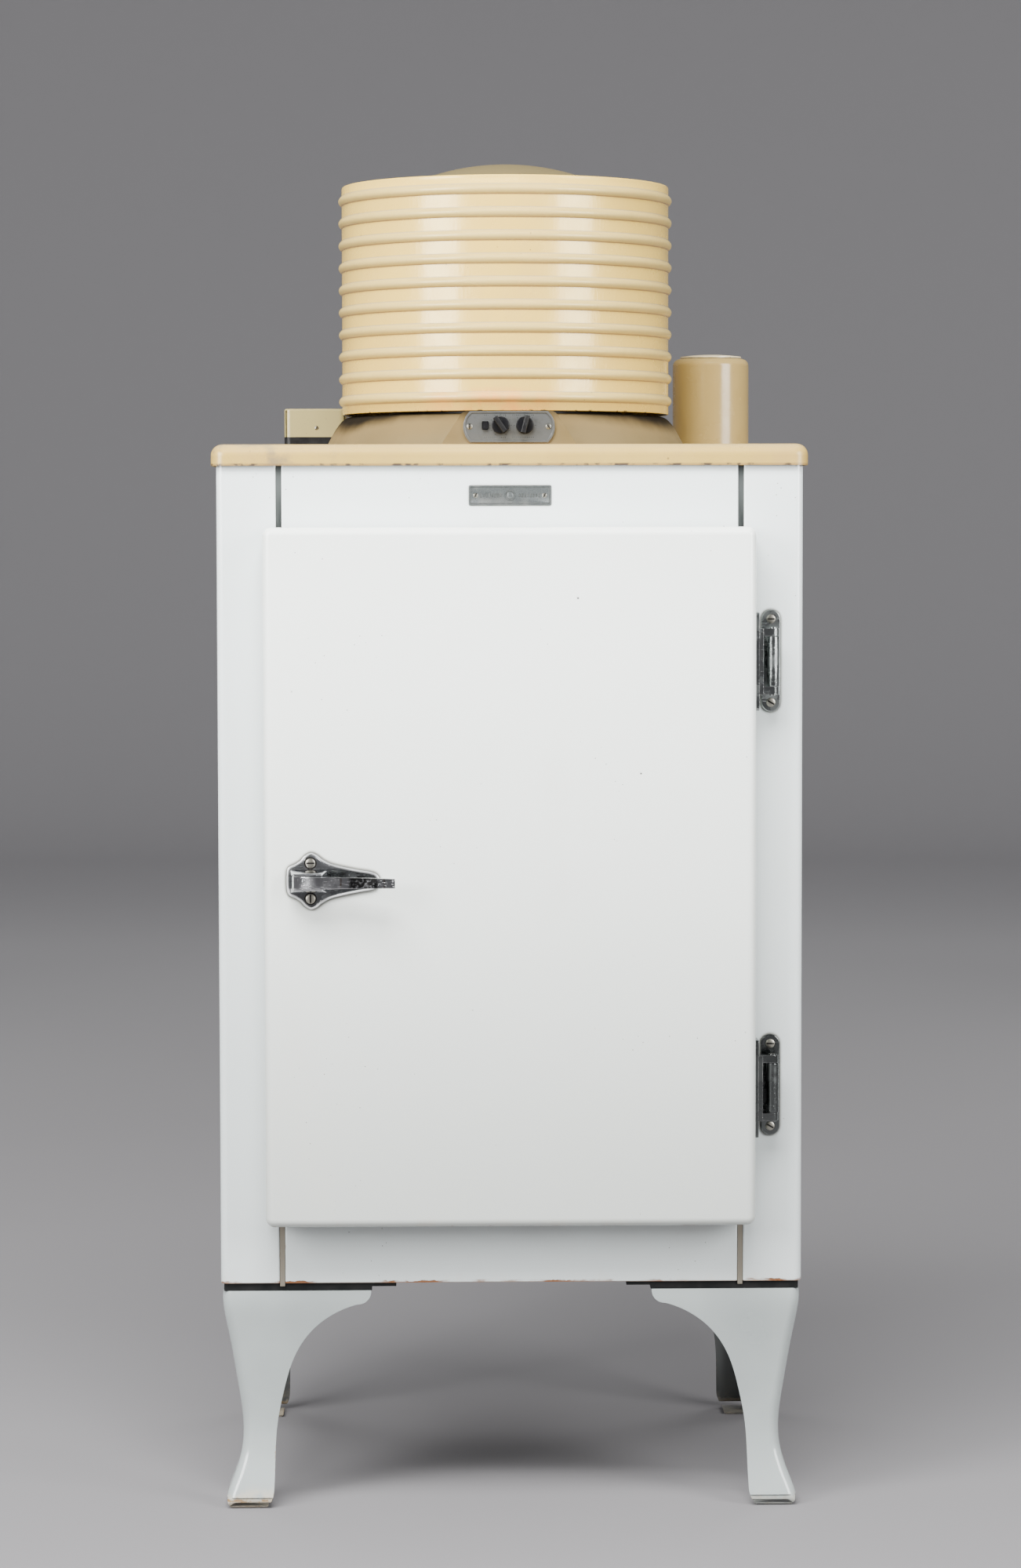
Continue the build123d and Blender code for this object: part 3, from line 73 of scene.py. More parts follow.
# ---- material building blocks ---------------------------------------------------------------
class Paint:
    """A node material, with short calls for the nodes that its colour, gloss and relief need."""

    def __init__(self, name, roughness=0.3, metallic=0.0, coat=0.0, specular=0.5, sheen=(1, 1, 1)):
        self.material = bpy.data.materials.new(name)
        self.material.use_nodes = True
        self.tree = self.material.node_tree
        self.shader = self.tree.nodes["Principled BSDF"]
        for socket, value in (("Roughness", roughness), ("Metallic", metallic), ("Coat Weight", coat),
                              ("Coat Roughness", 0.12), ("Specular Tint", (*sheen, 1.0)),
                              ("Specular IOR Level", specular)):
            self.shader.inputs[socket].default_value = value
        self.place = self.node("ShaderNodeTexCoord").outputs["Object"]

    def node(self, kind, **settings):
        made = self.tree.nodes.new(kind)
        for key, value in settings.items():
            setattr(made, key, value)
        return made

    def feed(self, socket, value):
        """Link a socket, or set it where value is a plain number or colour."""
        if isinstance(value, bpy.types.NodeSocket):
            self.tree.links.new(value, socket)
        elif isinstance(value, (tuple, list)) and len(value) == 3 and socket.type == "RGBA":
            socket.default_value = (*value, 1.0)
        else:
            socket.default_value = value

    def at(self, stretch=(1, 1, 1), shift=(0, 0, 0)):
        """Object coordinates, stretched and shifted."""
        mapping = self.node("ShaderNodeMapping")
        self.feed(mapping.inputs["Vector"], self.place)
        mapping.inputs["Scale"].default_value = stretch
        mapping.inputs["Location"].default_value = shift
        return mapping.outputs["Vector"]

    def noise(self, scale, detail=4.0, stretch=(1, 1, 1), shift=(0, 0, 0)):
        made = self.node("ShaderNodeTexNoise")
        self.feed(made.inputs["Vector"], self.at(stretch, shift))
        made.inputs["Scale"].default_value = scale
        made.inputs["Detail"].default_value = detail
        made.inputs["Roughness"].default_value = 0.55
        return made.outputs["Fac"]

    def cells(self, scale, shift=(0, 0, 0), feature="F1"):
        made = self.node("ShaderNodeTexVoronoi", feature=feature)
        self.feed(made.inputs["Vector"], self.at(shift=shift))
        made.inputs["Scale"].default_value = scale
        return made.outputs["Distance"]

    def math(self, operation, first, second=0.0, clamp=False):
        made = self.node("ShaderNodeMath", operation=operation, use_clamp=clamp)
        self.feed(made.inputs[0], first)
        self.feed(made.inputs[1], second)
        return made.outputs[0]

    def band(self, value, low, high, out_low=0.0, out_high=1.0):
        """0 below low, 1 above high, smooth between; low may be above high."""
        made = self.node("ShaderNodeMapRange", interpolation_type="SMOOTHSTEP")
        self.feed(made.inputs["Value"], value)
        if low > high:
            low, high, out_low, out_high = high, low, out_high, out_low
        for socket, limit in (("From Min", low), ("From Max", high), ("To Min", out_low),
                              ("To Max", out_high)):
            made.inputs[socket].default_value = limit
        return made.outputs["Result"]

    def patches(self, scale, detail, low, high, stretch=(1, 1, 1), shift=(0, 0, 0)):
        """Noise cut into soft patches."""
        return self.band(self.noise(scale, detail, stretch, shift), low, high)

    def axis(self, letter):
        """One coordinate of the place in the object's frame, in metres."""
        parts = self.node("ShaderNodeSeparateXYZ")
        self.feed(parts.inputs[0], self.place)
        return parts.outputs[letter]

    def facing_up(self):
        """How far the surface faces up, from -1 to 1."""
        parts = self.node("ShaderNodeSeparateXYZ")
        self.feed(parts.inputs[0], self.node("ShaderNodeNewGeometry").outputs["Normal"])
        return parts.outputs["Z"]

    def edges(self, radius):
        """1 on sharp edges, 0 on flat faces."""
        bevel = self.node("ShaderNodeBevel", samples=4)
        bevel.inputs["Radius"].default_value = radius
        dot = self.node("ShaderNodeVectorMath", operation="DOT_PRODUCT")
        self.feed(dot.inputs[0], bevel.outputs["Normal"])
        self.feed(dot.inputs[1], self.node("ShaderNodeNewGeometry").outputs["True Normal"])
        return self.band(dot.outputs["Value"], 0.995, 0.9)

    def rounded(self, radius):
        """A surface normal that rounds off sharp edges."""
        bevel = self.node("ShaderNodeBevel", samples=4)
        bevel.inputs["Radius"].default_value = radius
        return bevel.outputs["Normal"]

    def corners(self, distance):
        """1 deep in corners and gaps, 0 in the open."""
        shade = self.node("ShaderNodeAmbientOcclusion", samples=8)
        shade.inputs["Distance"].default_value = distance
        return self.math("SUBTRACT", 1.0, shade.outputs["AO"], clamp=True)

    def ragged(self, scale, detail, depth, middle=0.0):
        """Noise about middle, as a small height to add to an edge."""
        rough = self.math("SUBTRACT", self.noise(scale, detail), middle)
        return self.math("MULTIPLY", rough, depth)

    def distance(self, value, centre):
        """How far a value is from centre."""
        return self.math("ABSOLUTE", self.math("SUBTRACT", value, centre))

    def both(self, first, second):
        return self.math("MULTIPLY", first, second, clamp=True)

    def either(self, first, second):
        return self.math("MAXIMUM", first, second)

    def mix(self, amount, first, second, kind="RGBA"):
        """The first colour, and the second where amount is 1."""
        made = self.node("ShaderNodeMix", data_type=kind)
        self.feed(made.inputs["Factor"], amount)
        self.feed(made.inputs["A"], first)
        self.feed(made.inputs["B"], second)
        return made.outputs["Result"]

    def blend(self, amount, first, second):
        """The first number, and the second where amount is 1."""
        return self.mix(amount, first, second, kind="FLOAT")

    def tint(self, color, tone, mask, share=1.0):
        """The colour, with tone laid over it where the mask is 1, by that share."""
        amount = mask if share == 1.0 else self.both(mask, share)
        return self.mix(amount, color, tone)

    def relief(self, height, depth, strength=1.0, over=None):
        """A bump of that depth in metres, on top of another one."""
        made = self.node("ShaderNodeBump")
        self.feed(made.inputs["Height"], height)
        made.inputs["Distance"].default_value = depth
        made.inputs["Strength"].default_value = strength
        if over is not None:
            self.feed(made.inputs["Normal"], over)
        return made.outputs["Normal"]

    def done(self, color=None, roughness=None, normal=None, metallic=None):
        for name, value in (("Base Color", color), ("Roughness", roughness), ("Normal", normal),
                            ("Metallic", metallic)):
            if value is not None:
                self.feed(self.shader.inputs[name], value)
        return self.material


def fine_specks(paint, scale, size, shift=(0, 0, 0)):
    """A few small round marks."""
    spots = paint.band(paint.cells(scale, shift=shift), size, size * 0.55)
    patches = paint.patches(7.0, 2.0, 0.56, 0.62, shift=shift)
    return paint.both(spots, patches)


# ---- materials ------------------------------------------------------------------------------
RUST_DARK = (0.075, 0.026, 0.010)
RUST_LIGHT = (0.23, 0.090, 0.025)
# near-black for soot and the painted shadow under the drum
SOOT_AND_SHADOW = (0.007, 0.006, 0.005)


def scaled(tone, share):
    """A colour with each part multiplied by share."""
    return tuple(share * part for part in tone)


def rust(paint):
    """Rust, from dark to orange."""
    return paint.mix(paint.noise(420.0, 5.0), RUST_DARK, RUST_LIGHT)


def foot_rust(paint, color, worn, foot_z):
    """Dark line, tan stain and broken rust along the bottom edge at foot_z."""
    height = paint.axis("Z")
    sole = paint.both(paint.band(height, foot_z + 0.0012, foot_z + 0.0006), 0.8)
    color = paint.tint(color, (0.09, 0.05, 0.025), sole)
    stain = paint.both(paint.band(height, foot_z + 0.02, foot_z),
                       paint.patches(26.0, 5.0, 0.5, 0.8, stretch=(1, 1, 0.3)))
    color = paint.tint(color, (0.52, 0.40, 0.26), stain, 0.35)
    low = paint.math("SUBTRACT", height, paint.ragged(75.0, 6.0, 0.0100))
    line = paint.band(low, foot_z - 0.0020, foot_z - 0.0032)
    rusted = paint.both(line, paint.patches(17.0, 4.0, 0.46, 0.60, shift=(3, 1, 0)))
    return paint.mix(rusted, color, rust(paint)), paint.either(worn, rusted)


def seam_rust_marks(paint, color, worn):
    """Small rust patches beside the lower ends of the two seams."""
    across = paint.math("ABSOLUTE", paint.axis("X"))
    near = paint.both(paint.band(across, SEAM_INNER_X - 0.0023, SEAM_INNER_X),
                      paint.band(across, SEAM_OUTER_X + 0.0022, SEAM_OUTER_X))
    low = paint.band(paint.axis("Z"), 0.372, 0.360)
    patches = paint.patches(75.0, 5.0, 0.60, 0.67, stretch=(1, 1, 0.35))
    marks = paint.both(paint.both(near, low), patches)
    return paint.mix(marks, color, rust(paint)), paint.either(worn, marks)


def white_enamel(name, light, shade, foot_z=None, low_shade_share=1.0, seam_rust=False):
    """Vitreous enamel: ripple, faint tint, small chips, grime and painted shade at its fittings,
    painted shade lower down.
    """
    paint = Paint(name, coat=0.4, specular=0.55)
    color = paint.mix(paint.patches(2.3, 3.0, 0.35, 0.7), light, shade)
    # painted shade: darker towards the bottom, from 1.15 m down to 0.22 m
    if foot_z is not None:
        color = paint.tint(color, scaled(shade, low_shade_share), paint.band(paint.axis("Z"), 1.15, 0.22))
    smear = paint.patches(5.0, 6.0, 0.60, 0.82, stretch=(1.0, 1.0, 0.35))
    color = paint.tint(color, (0.60, 0.57, 0.49), smear, 0.22)
    worn = paint.either(fine_specks(paint, 95.0, 0.07),
                        fine_specks(paint, 22.0, 0.045, shift=(1, 1, 3)))
    color = paint.tint(color, (0.05, 0.04, 0.035), worn)
    # grime and painted shade where the enamel meets other parts, from an occlusion mask
    fitting_grime_and_shade = paint.band(paint.corners(0.005), 0.08, 0.36)
    color = paint.tint(color, (0.10, 0.088, 0.065), fitting_grime_and_shade, 0.85)
    if foot_z is not None:
        color, worn = foot_rust(paint, color, worn, foot_z)
    if seam_rust:
        color, worn = seam_rust_marks(paint, color, worn)
    normal = paint.relief(paint.noise(16.0, 2.0), 0.0009, 0.35)
    normal = paint.relief(paint.noise(900.0, 2.0), 0.00004, 0.5, over=normal)
    normal = paint.relief(worn, -0.0004, 0.6, over=normal)
    gloss = paint.blend(paint.patches(9.0, 5.0, 0.3, 0.75), 0.13, 0.24)
    return paint.done(color, paint.blend(worn, gloss, 0.8), normal)


def leg_enamel(name, light, shade):
    """Enamel, worn to tan and brown round the feet, the left front one most."""
    paint = Paint(name, coat=0.4, specular=0.55)
    height = paint.axis("Z")
    color = paint.mix(paint.patches(6.0, 3.0, 0.35, 0.7), light, shade)
    left = paint.band(paint.axis("X"), 0.0, -0.1, 0.25, 1.0)
    inner = paint.both(paint.edges(0.003), paint.band(height, 0.20, 0.03))
    bitten = paint.patches(190.0, 6.0, 0.50, 0.64)
    bare = paint.both(paint.both(inner, bitten), left)
    low = paint.math("SUBTRACT", height, paint.ragged(170.0, 6.0, 0.012))
    sole = paint.both(paint.band(low, 0.0080, 0.0045), left)
    lip = paint.both(paint.band(paint.distance(height, 0.0105), 0.0022, 0.0008),
                     paint.patches(110.0, 5.0, 0.44, 0.52))
    worn = paint.either(bare, paint.both(lip, left))
    grime = paint.both(paint.band(height, 0.035, 0.004),
                       paint.patches(60.0, 6.0, 0.40, 0.70))
    color = paint.tint(color, (0.60, 0.50, 0.36), paint.both(grime, paint.both(left, 0.7)))
    color = paint.tint(color, (0.36, 0.315, 0.235), sole, 0.8)
    brown = paint.mix(paint.noise(300.0, 4.0), (0.11, 0.055, 0.025), (0.40, 0.27, 0.13))
    color = paint.tint(color, brown, worn)
    normal = paint.relief(paint.noise(22.0, 2.0), 0.0008, 0.4, over=paint.rounded(0.0012))
    normal = paint.relief(worn, -0.0004, 0.6, over=normal)
    gloss = paint.blend(paint.patches(12.0, 5.0, 0.3, 0.75), 0.14, 0.28)
    return paint.done(color, paint.blend(paint.either(worn, sole), gloss, 0.8), normal)


def rib_marks(paint):
    """Masks for the ribs round the drum: on a rib, the crease above it and the one below."""
    turn = paint.math("DIVIDE", paint.math("SUBTRACT", paint.axis("Z"), RIB_FIRST_Z), RIB_PITCH)
    part = paint.math("SUBTRACT", turn, paint.math("FLOOR", paint.math("ADD", turn, 0.5)))
    offset = paint.math("MULTIPLY", part, RIB_PITCH)
    far = paint.math("ABSOLUTE", offset)
    on_rib = paint.band(far, RIB_HALF + 0.0006, RIB_HALF - 0.0014)
    crease = paint.band(paint.distance(far, RIB_HALF), 0.0015, 0.0)
    below = paint.both(crease, paint.band(offset, 0.001, -0.001))
    above = paint.both(crease, paint.band(offset, -0.001, 0.001))
    return on_rib, above, below


def scorch_mark(paint):
    """Mask for the orange scorch low on the drum's front."""
    side = paint.distance(paint.axis("X"), SCORCH_X)
    front = paint.both(paint.band(side, 0.105, 0.015),
                       paint.band(paint.axis("Y"), UNIT_Y, UNIT_Y - 0.15))
    low = paint.band(paint.axis("Z"), 1.390, 1.370)
    return paint.both(paint.both(front, low), paint.patches(26.0, 5.0, 0.25, 0.62))


def drum_enamel():
    """Glossy cream paint: warm bands, dustier ribs, a brown painted shadow under each rib and a
    darker line above it, a scorch at the front.
    """
    paint = Paint("drum_enamel", coat=0.35, specular=0.95, sheen=(1.0, 0.90, 0.62))
    color = paint.mix(paint.patches(3.4, 4.0, 0.32, 0.70), (0.735, 0.500, 0.105),
                      (0.66, 0.44, 0.088))
    on_rib, above, below = rib_marks(paint)
    dusty = paint.mix(paint.noise(26.0, 6.0), (0.555, 0.420, 0.145), (0.455, 0.335, 0.110))
    color = paint.tint(color, dusty, on_rib, 0.8)
    patches = paint.both(paint.patches(14.0, 6.0, 0.52, 0.75, shift=(0, 2, 5)), 0.35)
    color = paint.tint(color, (0.58, 0.385, 0.115), patches)
    # painted shadow: a dark brown line along the crease under each rib
    color = paint.tint(color, (0.26, 0.15, 0.06), below, 0.9)
    color = paint.tint(color, (0.36, 0.29, 0.17), above, 0.7)
    color = paint.tint(color, (0.80, 0.30, 0.06), scorch_mark(paint), 0.9)
    pits = fine_specks(paint, 105.0, 0.10, shift=(2, 0, 1))
    color = paint.tint(color, (0.10, 0.065, 0.035), pits)
    edge = paint.both(paint.band(paint.axis("Z"), 1.3585, 1.3565),
                      paint.patches(120.0, 5.0, 0.56, 0.64))
    color = paint.tint(color, (0.06, 0.035, 0.02), edge)
    grain = paint.noise(95.0, 4.0, stretch=(3.0, 3.0, 0.5))
    normal = paint.relief(paint.noise(24.0, 3.0), 0.0006, 0.35)
    normal = paint.relief(grain, 0.00028, 0.6, over=normal)
    normal = paint.relief(paint.noise(800.0, 2.0), 0.00005, 0.7, over=normal)
    gloss = paint.blend(paint.patches(40.0, 6.0, 0.3, 0.72), 0.20, 0.31)
    return paint.done(color, paint.blend(paint.both(on_rib, 0.55), gloss, 0.55), normal)


def soot_and_shadow(paint, color, start, full):
    """Soot and painted shadow from start to full height, lower at the sides: a dull brown haze, then
    black.
    """
    aside = paint.distance(paint.axis("X"), UNIT_X)
    aside = paint.math("MULTIPLY", paint.math("SUBTRACT", aside, 0.120), 0.095)
    height = paint.math("ADD", paint.axis("Z"), aside)
    cloud = paint.ragged(11.0, 5.0, 0.022, middle=0.5)
    wisps = paint.ragged(7.0, 4.0, 0.060, middle=0.5)
    black = paint.band(paint.math("ADD", height, cloud), start - 0.004, full + 0.009)
    haze = paint.band(paint.math("ADD", height, wisps), start - 0.022, full + 0.004)
    paint.feed(paint.shader.inputs["Specular IOR Level"], paint.blend(haze, 0.5, 0.03))
    color = paint.tint(color, (0.17, 0.115, 0.05), haze, 0.50)
    return paint.mix(paint.both(black, 0.97), color, SOOT_AND_SHADOW)


def cream_enamel(name, light, shade, dust=0.45, rough=0.26, coat=0.25, soot_and_shadow_heights=None):
    """Aged cream paint: clouded tint, dust on what faces up, pits, painted shade in creases, and a
    smoke-black band with painted shadow where one is given.
    """
    paint = Paint(name, coat=coat, specular=0.5)
    color = paint.mix(paint.patches(5.0, 5.0, 0.32, 0.70), light, shade)
    dull = tuple(part * tone for part, tone in zip(shade, (0.84, 0.80, 0.74)))
    color = paint.tint(color, dull, paint.patches(18.0, 6.0, 0.52, 0.78), 0.5)
    up = paint.band(paint.facing_up(), 0.05, 0.75)
    color = paint.tint(color, scaled(shade, 0.9), paint.both(up, dust))
    pits = fine_specks(paint, 120.0, 0.09, shift=(2, 0, 1))
    color = paint.tint(color, (0.12, 0.08, 0.045), pits)
    # painted shade: brown darkening in creases and gaps, from an occlusion mask
    crease_shade = paint.band(paint.corners(0.010), 0.30, 0.80)
    color = paint.tint(color, (0.26, 0.17, 0.08), crease_shade, 0.55)
    # soot and painted shadow in a band, where heights are given
    if soot_and_shadow_heights is not None:
        color = soot_and_shadow(paint, color, *soot_and_shadow_heights)
    normal = paint.relief(paint.noise(19.0, 3.0), 0.0007, 0.35)
    normal = paint.relief(paint.noise(240.0, 4.0), 0.00010, 0.6, over=normal)
    normal = paint.relief(paint.noise(700.0, 2.0), 0.00004, 0.6, over=normal)
    patch = paint.patches(23.0, 6.0, 0.3, 0.72)
    gloss = paint.blend(patch, rough * 0.85, rough * 1.5)
    return paint.done(color, paint.blend(paint.both(up, 0.6), gloss, 0.7), normal)


def pan_enamel():
    """Tan top: peach tint, dark chips at the front edge, a painted shadow line along its lower edge,
    worn rim.
    """
    paint = Paint("pan_enamel", coat=0.25, specular=0.5)
    color = paint.mix(paint.patches(4.0, 5.0, 0.3, 0.7), (0.50, 0.340, 0.090),
                      (0.44, 0.295, 0.072))
    cloud = paint.patches(17.0, 6.0, 0.48, 0.72, shift=(4, 0, 0))
    color = paint.tint(color, (0.39, 0.255, 0.085), cloud, 0.55)
    specks = paint.both(paint.band(paint.cells(46.0, shift=(0, 4, 2)), 0.085, 0.045),
                        paint.patches(5.0, 2.0, 0.42, 0.47, shift=(2, 4, 2)))
    color = paint.tint(color, (0.075, 0.050, 0.028), specks)
    smudges = paint.both(paint.band(paint.axis("X"), -0.17, -0.29),
                         paint.patches(32.0, 5.0, 0.47, 0.66, shift=(7, 0, 0)))
    color = paint.tint(color, (0.19, 0.145, 0.088), smudges, 0.8)
    up = paint.band(paint.facing_up(), 0.4, 0.95)
    color = paint.tint(color, (0.42, 0.33, 0.18), up, 0.35)
    # painted shadow: a dark brown line along the lower edge of the front
    under = paint.band(paint.axis("Z"), PAN_EDGE_Z + 0.002, PAN_EDGE_Z)
    color = paint.tint(color, (0.17, 0.10, 0.045), under, 0.6)
    chips = paint.both(paint.patches(150.0, 6.0, 0.68, 0.73),
                       paint.patches(9.0, 3.0, 0.52, 0.60, shift=(1, 0, 2)))
    rim = paint.both(under, paint.patches(90.0, 6.0, 0.50, 0.62))
    worn = paint.either(chips, rim)
    color = paint.tint(color, (0.055, 0.036, 0.022), worn)
    normal = paint.relief(paint.noise(24.0, 3.0), 0.0009, 0.4)
    normal = paint.relief(paint.noise(520.0, 3.0), 0.00006, 0.7, over=normal)
    normal = paint.relief(worn, -0.0004, 0.7, over=normal)
    gloss = paint.blend(paint.patches(15.0, 6.0, 0.3, 0.72), 0.26, 0.44)
    return paint.done(color, paint.blend(worn, gloss, 0.75), normal)


def worn_zone(paint, low, high):
    """Masks for blotches between two places along X, and for brown spots beside them."""
    along = paint.axis("X")
    zone = paint.both(paint.band(along, low, low + 0.006), paint.band(along, high, high - 0.006))
    blotches = paint.both(zone, paint.patches(260.0, 6.0, 0.34, 0.50))
    spots = 0.0
    for place, reach in ((low - 0.007, 0.0020), (high + 0.004, 0.0015)):
        away = paint.math("ADD", paint.distance(along, place), paint.ragged(160.0, 5.0, 0.006))
        spots = paint.either(spots, paint.band(away, reach + 0.003, reach))
    return blotches, spots


def worn_chrome(name="worn_chrome", tone=(0.60, 0.61, 0.63), age=0.5, haze_gloss=0.24, worn_part=None,
                wobble=0.00015, soft=0.0011, dark_below=None):
    """Plated metal: hazy patches, scratches, dark pits, painted highlights on edges, brown in the
    corners.
    """
    paint = Paint(name, metallic=1.0)
    haze = paint.patches(38.0, 6.0, 0.36, 0.72)
    color = paint.mix(haze, tone, scaled(tone, 0.60))
    pits = paint.both(paint.band(paint.cells(420.0), 0.20, 0.11),
                      paint.patches(30.0, 3.0, 0.50, 0.60))
    if worn_part is not None:
        blotches, spots = worn_zone(paint, *worn_part)
        pits = paint.either(pits, blotches)
    color = paint.tint(color, (0.050, 0.048, 0.046), pits, 0.93)
    if dark_below is not None:
        low = paint.band(paint.axis("Z"), dark_below, dark_below - 0.1)
        color = paint.tint(color, scaled(tone, 0.22), low, 0.85)
    if worn_part is not None:
        color = paint.tint(color, (0.20, 0.115, 0.065), spots, 0.9)
    grime = paint.both(paint.band(paint.corners(0.006), 0.35, 0.85), age)
    color = paint.tint(color, (0.085, 0.055, 0.032), grime, 0.6)
    # painted highlight: near-white colour along sharp edges
    color = paint.tint(color, (0.88, 0.88, 0.87), paint.edges(soft), 0.9)
    scratch = paint.patches(150.0, 3.0, 0.62, 0.70, stretch=(0.4, 6.0, 9.0))
    normal = paint.relief(paint.noise(70.0, 3.0), wobble, 0.3, over=paint.rounded(soft))
    normal = paint.relief(paint.either(pits, scratch), -0.00008, 0.5, over=normal)
    gloss = paint.blend(haze, 0.10, haze_gloss)
    gloss = paint.blend(paint.either(grime, paint.both(scratch, 0.4)), gloss, 0.55)
    metal = paint.math("SUBTRACT", 1.0, paint.math("MULTIPLY", grime, 0.7), clamp=True)
    return paint.done(color, gloss, normal, metal)


def plain_metal(name, tone, rough, grain=(1, 1, 1), metallic=1.0, corner_shade_share=0.8):
    """Bare metal with directional grain and dull patches."""
    paint = Paint(name, metallic=metallic)
    grainy = paint.noise(500.0, 3.0, stretch=grain)
    patch = paint.patches(28.0, 5.0, 0.42, 0.72)
    color = paint.mix(patch, tone, scaled(tone, 0.7))
    # painted shade: darker in corners and gaps, from an occlusion mask
    corner_shade = paint.both(paint.band(paint.corners(0.005), 0.3, 0.85), corner_shade_share)
    color = paint.tint(color, (0.10, 0.075, 0.05), corner_shade)
    normal = paint.relief(grainy, 0.00005, 0.6, over=paint.rounded(0.0006))
    gloss = paint.blend(grainy, rough * 0.8, rough * 1.25)
    return paint.done(color, paint.blend(corner_shade, gloss, 0.75), normal)


def satin_plate():
    """Satin plating, worn in blotches, with fine dark flecks and a dull haze."""
    paint = Paint("satin_plate", metallic=0.75)
    blotch = paint.patches(75.0, 6.0, 0.35, 0.72)
    color = paint.mix(blotch, (0.20, 0.205, 0.20), (0.125, 0.128, 0.12))
    flecks = paint.patches(700.0, 3.0, 0.60, 0.70)
    color = paint.tint(color, (0.20, 0.20, 0.185), flecks, 0.5)
    # painted shade: darker in corners, from an occlusion mask
    corner_shade = paint.band(paint.corners(0.003), 0.3, 0.8)
    color = paint.tint(color, (0.12, 0.11, 0.09), corner_shade, 0.6)
    normal = paint.relief(paint.noise(420.0, 3.0, stretch=(0.3, 1, 1)), 0.00005, 0.6,
                          over=paint.rounded(0.0012))
    return paint.done(color, paint.blend(blotch, 0.32, 0.50), normal)


def stamped_metal():
    """Pewter-coloured plate with a stippled field, darker in its corners and recesses as painted
    shade.
    """
    paint = Paint("stamped_metal", metallic=0.6)
    stipple = paint.cells(900.0)
    shade = paint.band(stipple, 0.15, 0.6)
    color = paint.mix(shade, (0.070, 0.079, 0.079), (0.135, 0.148, 0.148))
    blotch = paint.patches(60.0, 5.0, 0.45, 0.7)
    color = paint.tint(color, (0.30, 0.30, 0.28), blotch, 0.35)
    # painted shade: darker in corners and recesses, from an occlusion mask
    corner_shade = paint.band(paint.corners(0.003), 0.25, 0.75)
    color = paint.tint(color, (0.07, 0.075, 0.07), corner_shade, 0.85)
    normal = paint.relief(stipple, 0.00012, 0.7)
    return paint.done(color, paint.blend(corner_shade, 0.34, 0.7), normal)


def dull_paint(name, tone, other, rough=0.6, scale=40.0):
    """Matt coating with patches, dust and a fine grain."""
    paint = Paint(name, specular=0.2)
    color = paint.mix(paint.patches(scale, 6.0, 0.35, 0.7), tone, other)
    dust = paint.both(paint.band(paint.facing_up(), 0.4, 0.95), 0.35)
    color = paint.tint(color, (0.20, 0.18, 0.15), dust)
    normal = paint.relief(paint.noise(600.0, 3.0), 0.00008, 0.8)
    gloss = paint.blend(paint.noise(scale * 2, 4.0), rough * 0.8, min(1.0, rough * 1.2))
    return paint.done(color, gloss, normal)


def seam_filler():
    """Dark strip near the top, black rubber and painted shade, with a pale painted highlight round
    1.26 m; tan-grey below the door.
    """
    paint = Paint("seam_filler", specular=0.4)
    streaks = paint.patches(80.0, 5.0, 0.4, 0.65, stretch=(1, 1, 0.15))
    # black rubber, darkened further as painted shade of the gap
    upper = paint.mix(streaks, (0.010, 0.012, 0.012), (0.040, 0.045, 0.043))
    # painted highlight: a paler band round 1.26 m high
    middle = paint.band(paint.distance(paint.axis("Z"), 1.262), 0.03, 0.0)
    upper = paint.mix(paint.both(middle, 0.4), upper, (0.10, 0.11, 0.107))
    lower = paint.mix(paint.noise(60.0, 5.0, stretch=(1, 1, 0.2)), (0.125, 0.110, 0.086),
                      (0.185, 0.165, 0.130))
    color = paint.mix(paint.band(paint.axis("Z"), 0.5, 0.6), lower, upper)
    normal = paint.relief(paint.noise(260.0, 4.0, stretch=(1, 1, 0.3)), 0.00020, 0.8)
    return paint.done(color, paint.blend(paint.noise(40.0, 4.0), 0.38, 0.62), normal)


def gloss_black():
    """Black moulding with dust, swirl scratches and a soft sheen."""
    paint = Paint("gloss_black", specular=0.22)
    color = paint.mix(paint.patches(45.0, 5.0, 0.4, 0.75), (0.005, 0.005, 0.006),
                      (0.014, 0.014, 0.014))
    dust = paint.both(paint.band(paint.facing_up(), 0.3, 0.9),
                      paint.patches(90.0, 5.0, 0.35, 0.8))
    color = paint.tint(color, (0.10, 0.095, 0.080), dust, 0.2)
    scratch = paint.patches(260.0, 3.0, 0.63, 0.7, stretch=(7.0, 0.5, 1.2))
    normal = paint.relief(scratch, -0.00005, 0.5)
    gloss = paint.blend(paint.noise(50.0, 5.0), 0.30, 0.50)
    color = paint.tint(color, (0.10, 0.10, 0.10), scratch, 0.25)
    return paint.done(color, gloss, normal)


def soft_rubber():
    """Grey-tan rubber with fine cracks."""
    paint = Paint("soft_rubber", specular=0.3)
    color = paint.mix(paint.patches(30.0, 6.0, 0.35, 0.7), (0.30, 0.285, 0.255),
                      (0.20, 0.19, 0.17))
    cracks = paint.band(paint.cells(160.0, feature="DISTANCE_TO_EDGE"), 0.04, 0.01)
    color = paint.tint(color, (0.07, 0.065, 0.055), cracks, 0.5)
    normal = paint.relief(cracks, -0.00012, 0.7)
    return paint.done(color, 0.7, normal)


def cork_board():
    """Pressed cork in light and dark grains."""
    paint = Paint("cork_board", specular=0.2)
    grains = paint.cells(130.0)
    color = paint.mix(paint.band(grains, 0.1, 0.7), (0.30, 0.175, 0.085), (0.52, 0.35, 0.20))
    color = paint.tint(color, (0.10, 0.055, 0.03), paint.patches(70.0, 5.0, 0.58, 0.68))
    return paint.done(color, 0.9, paint.relief(grains, 0.0008, 0.8))


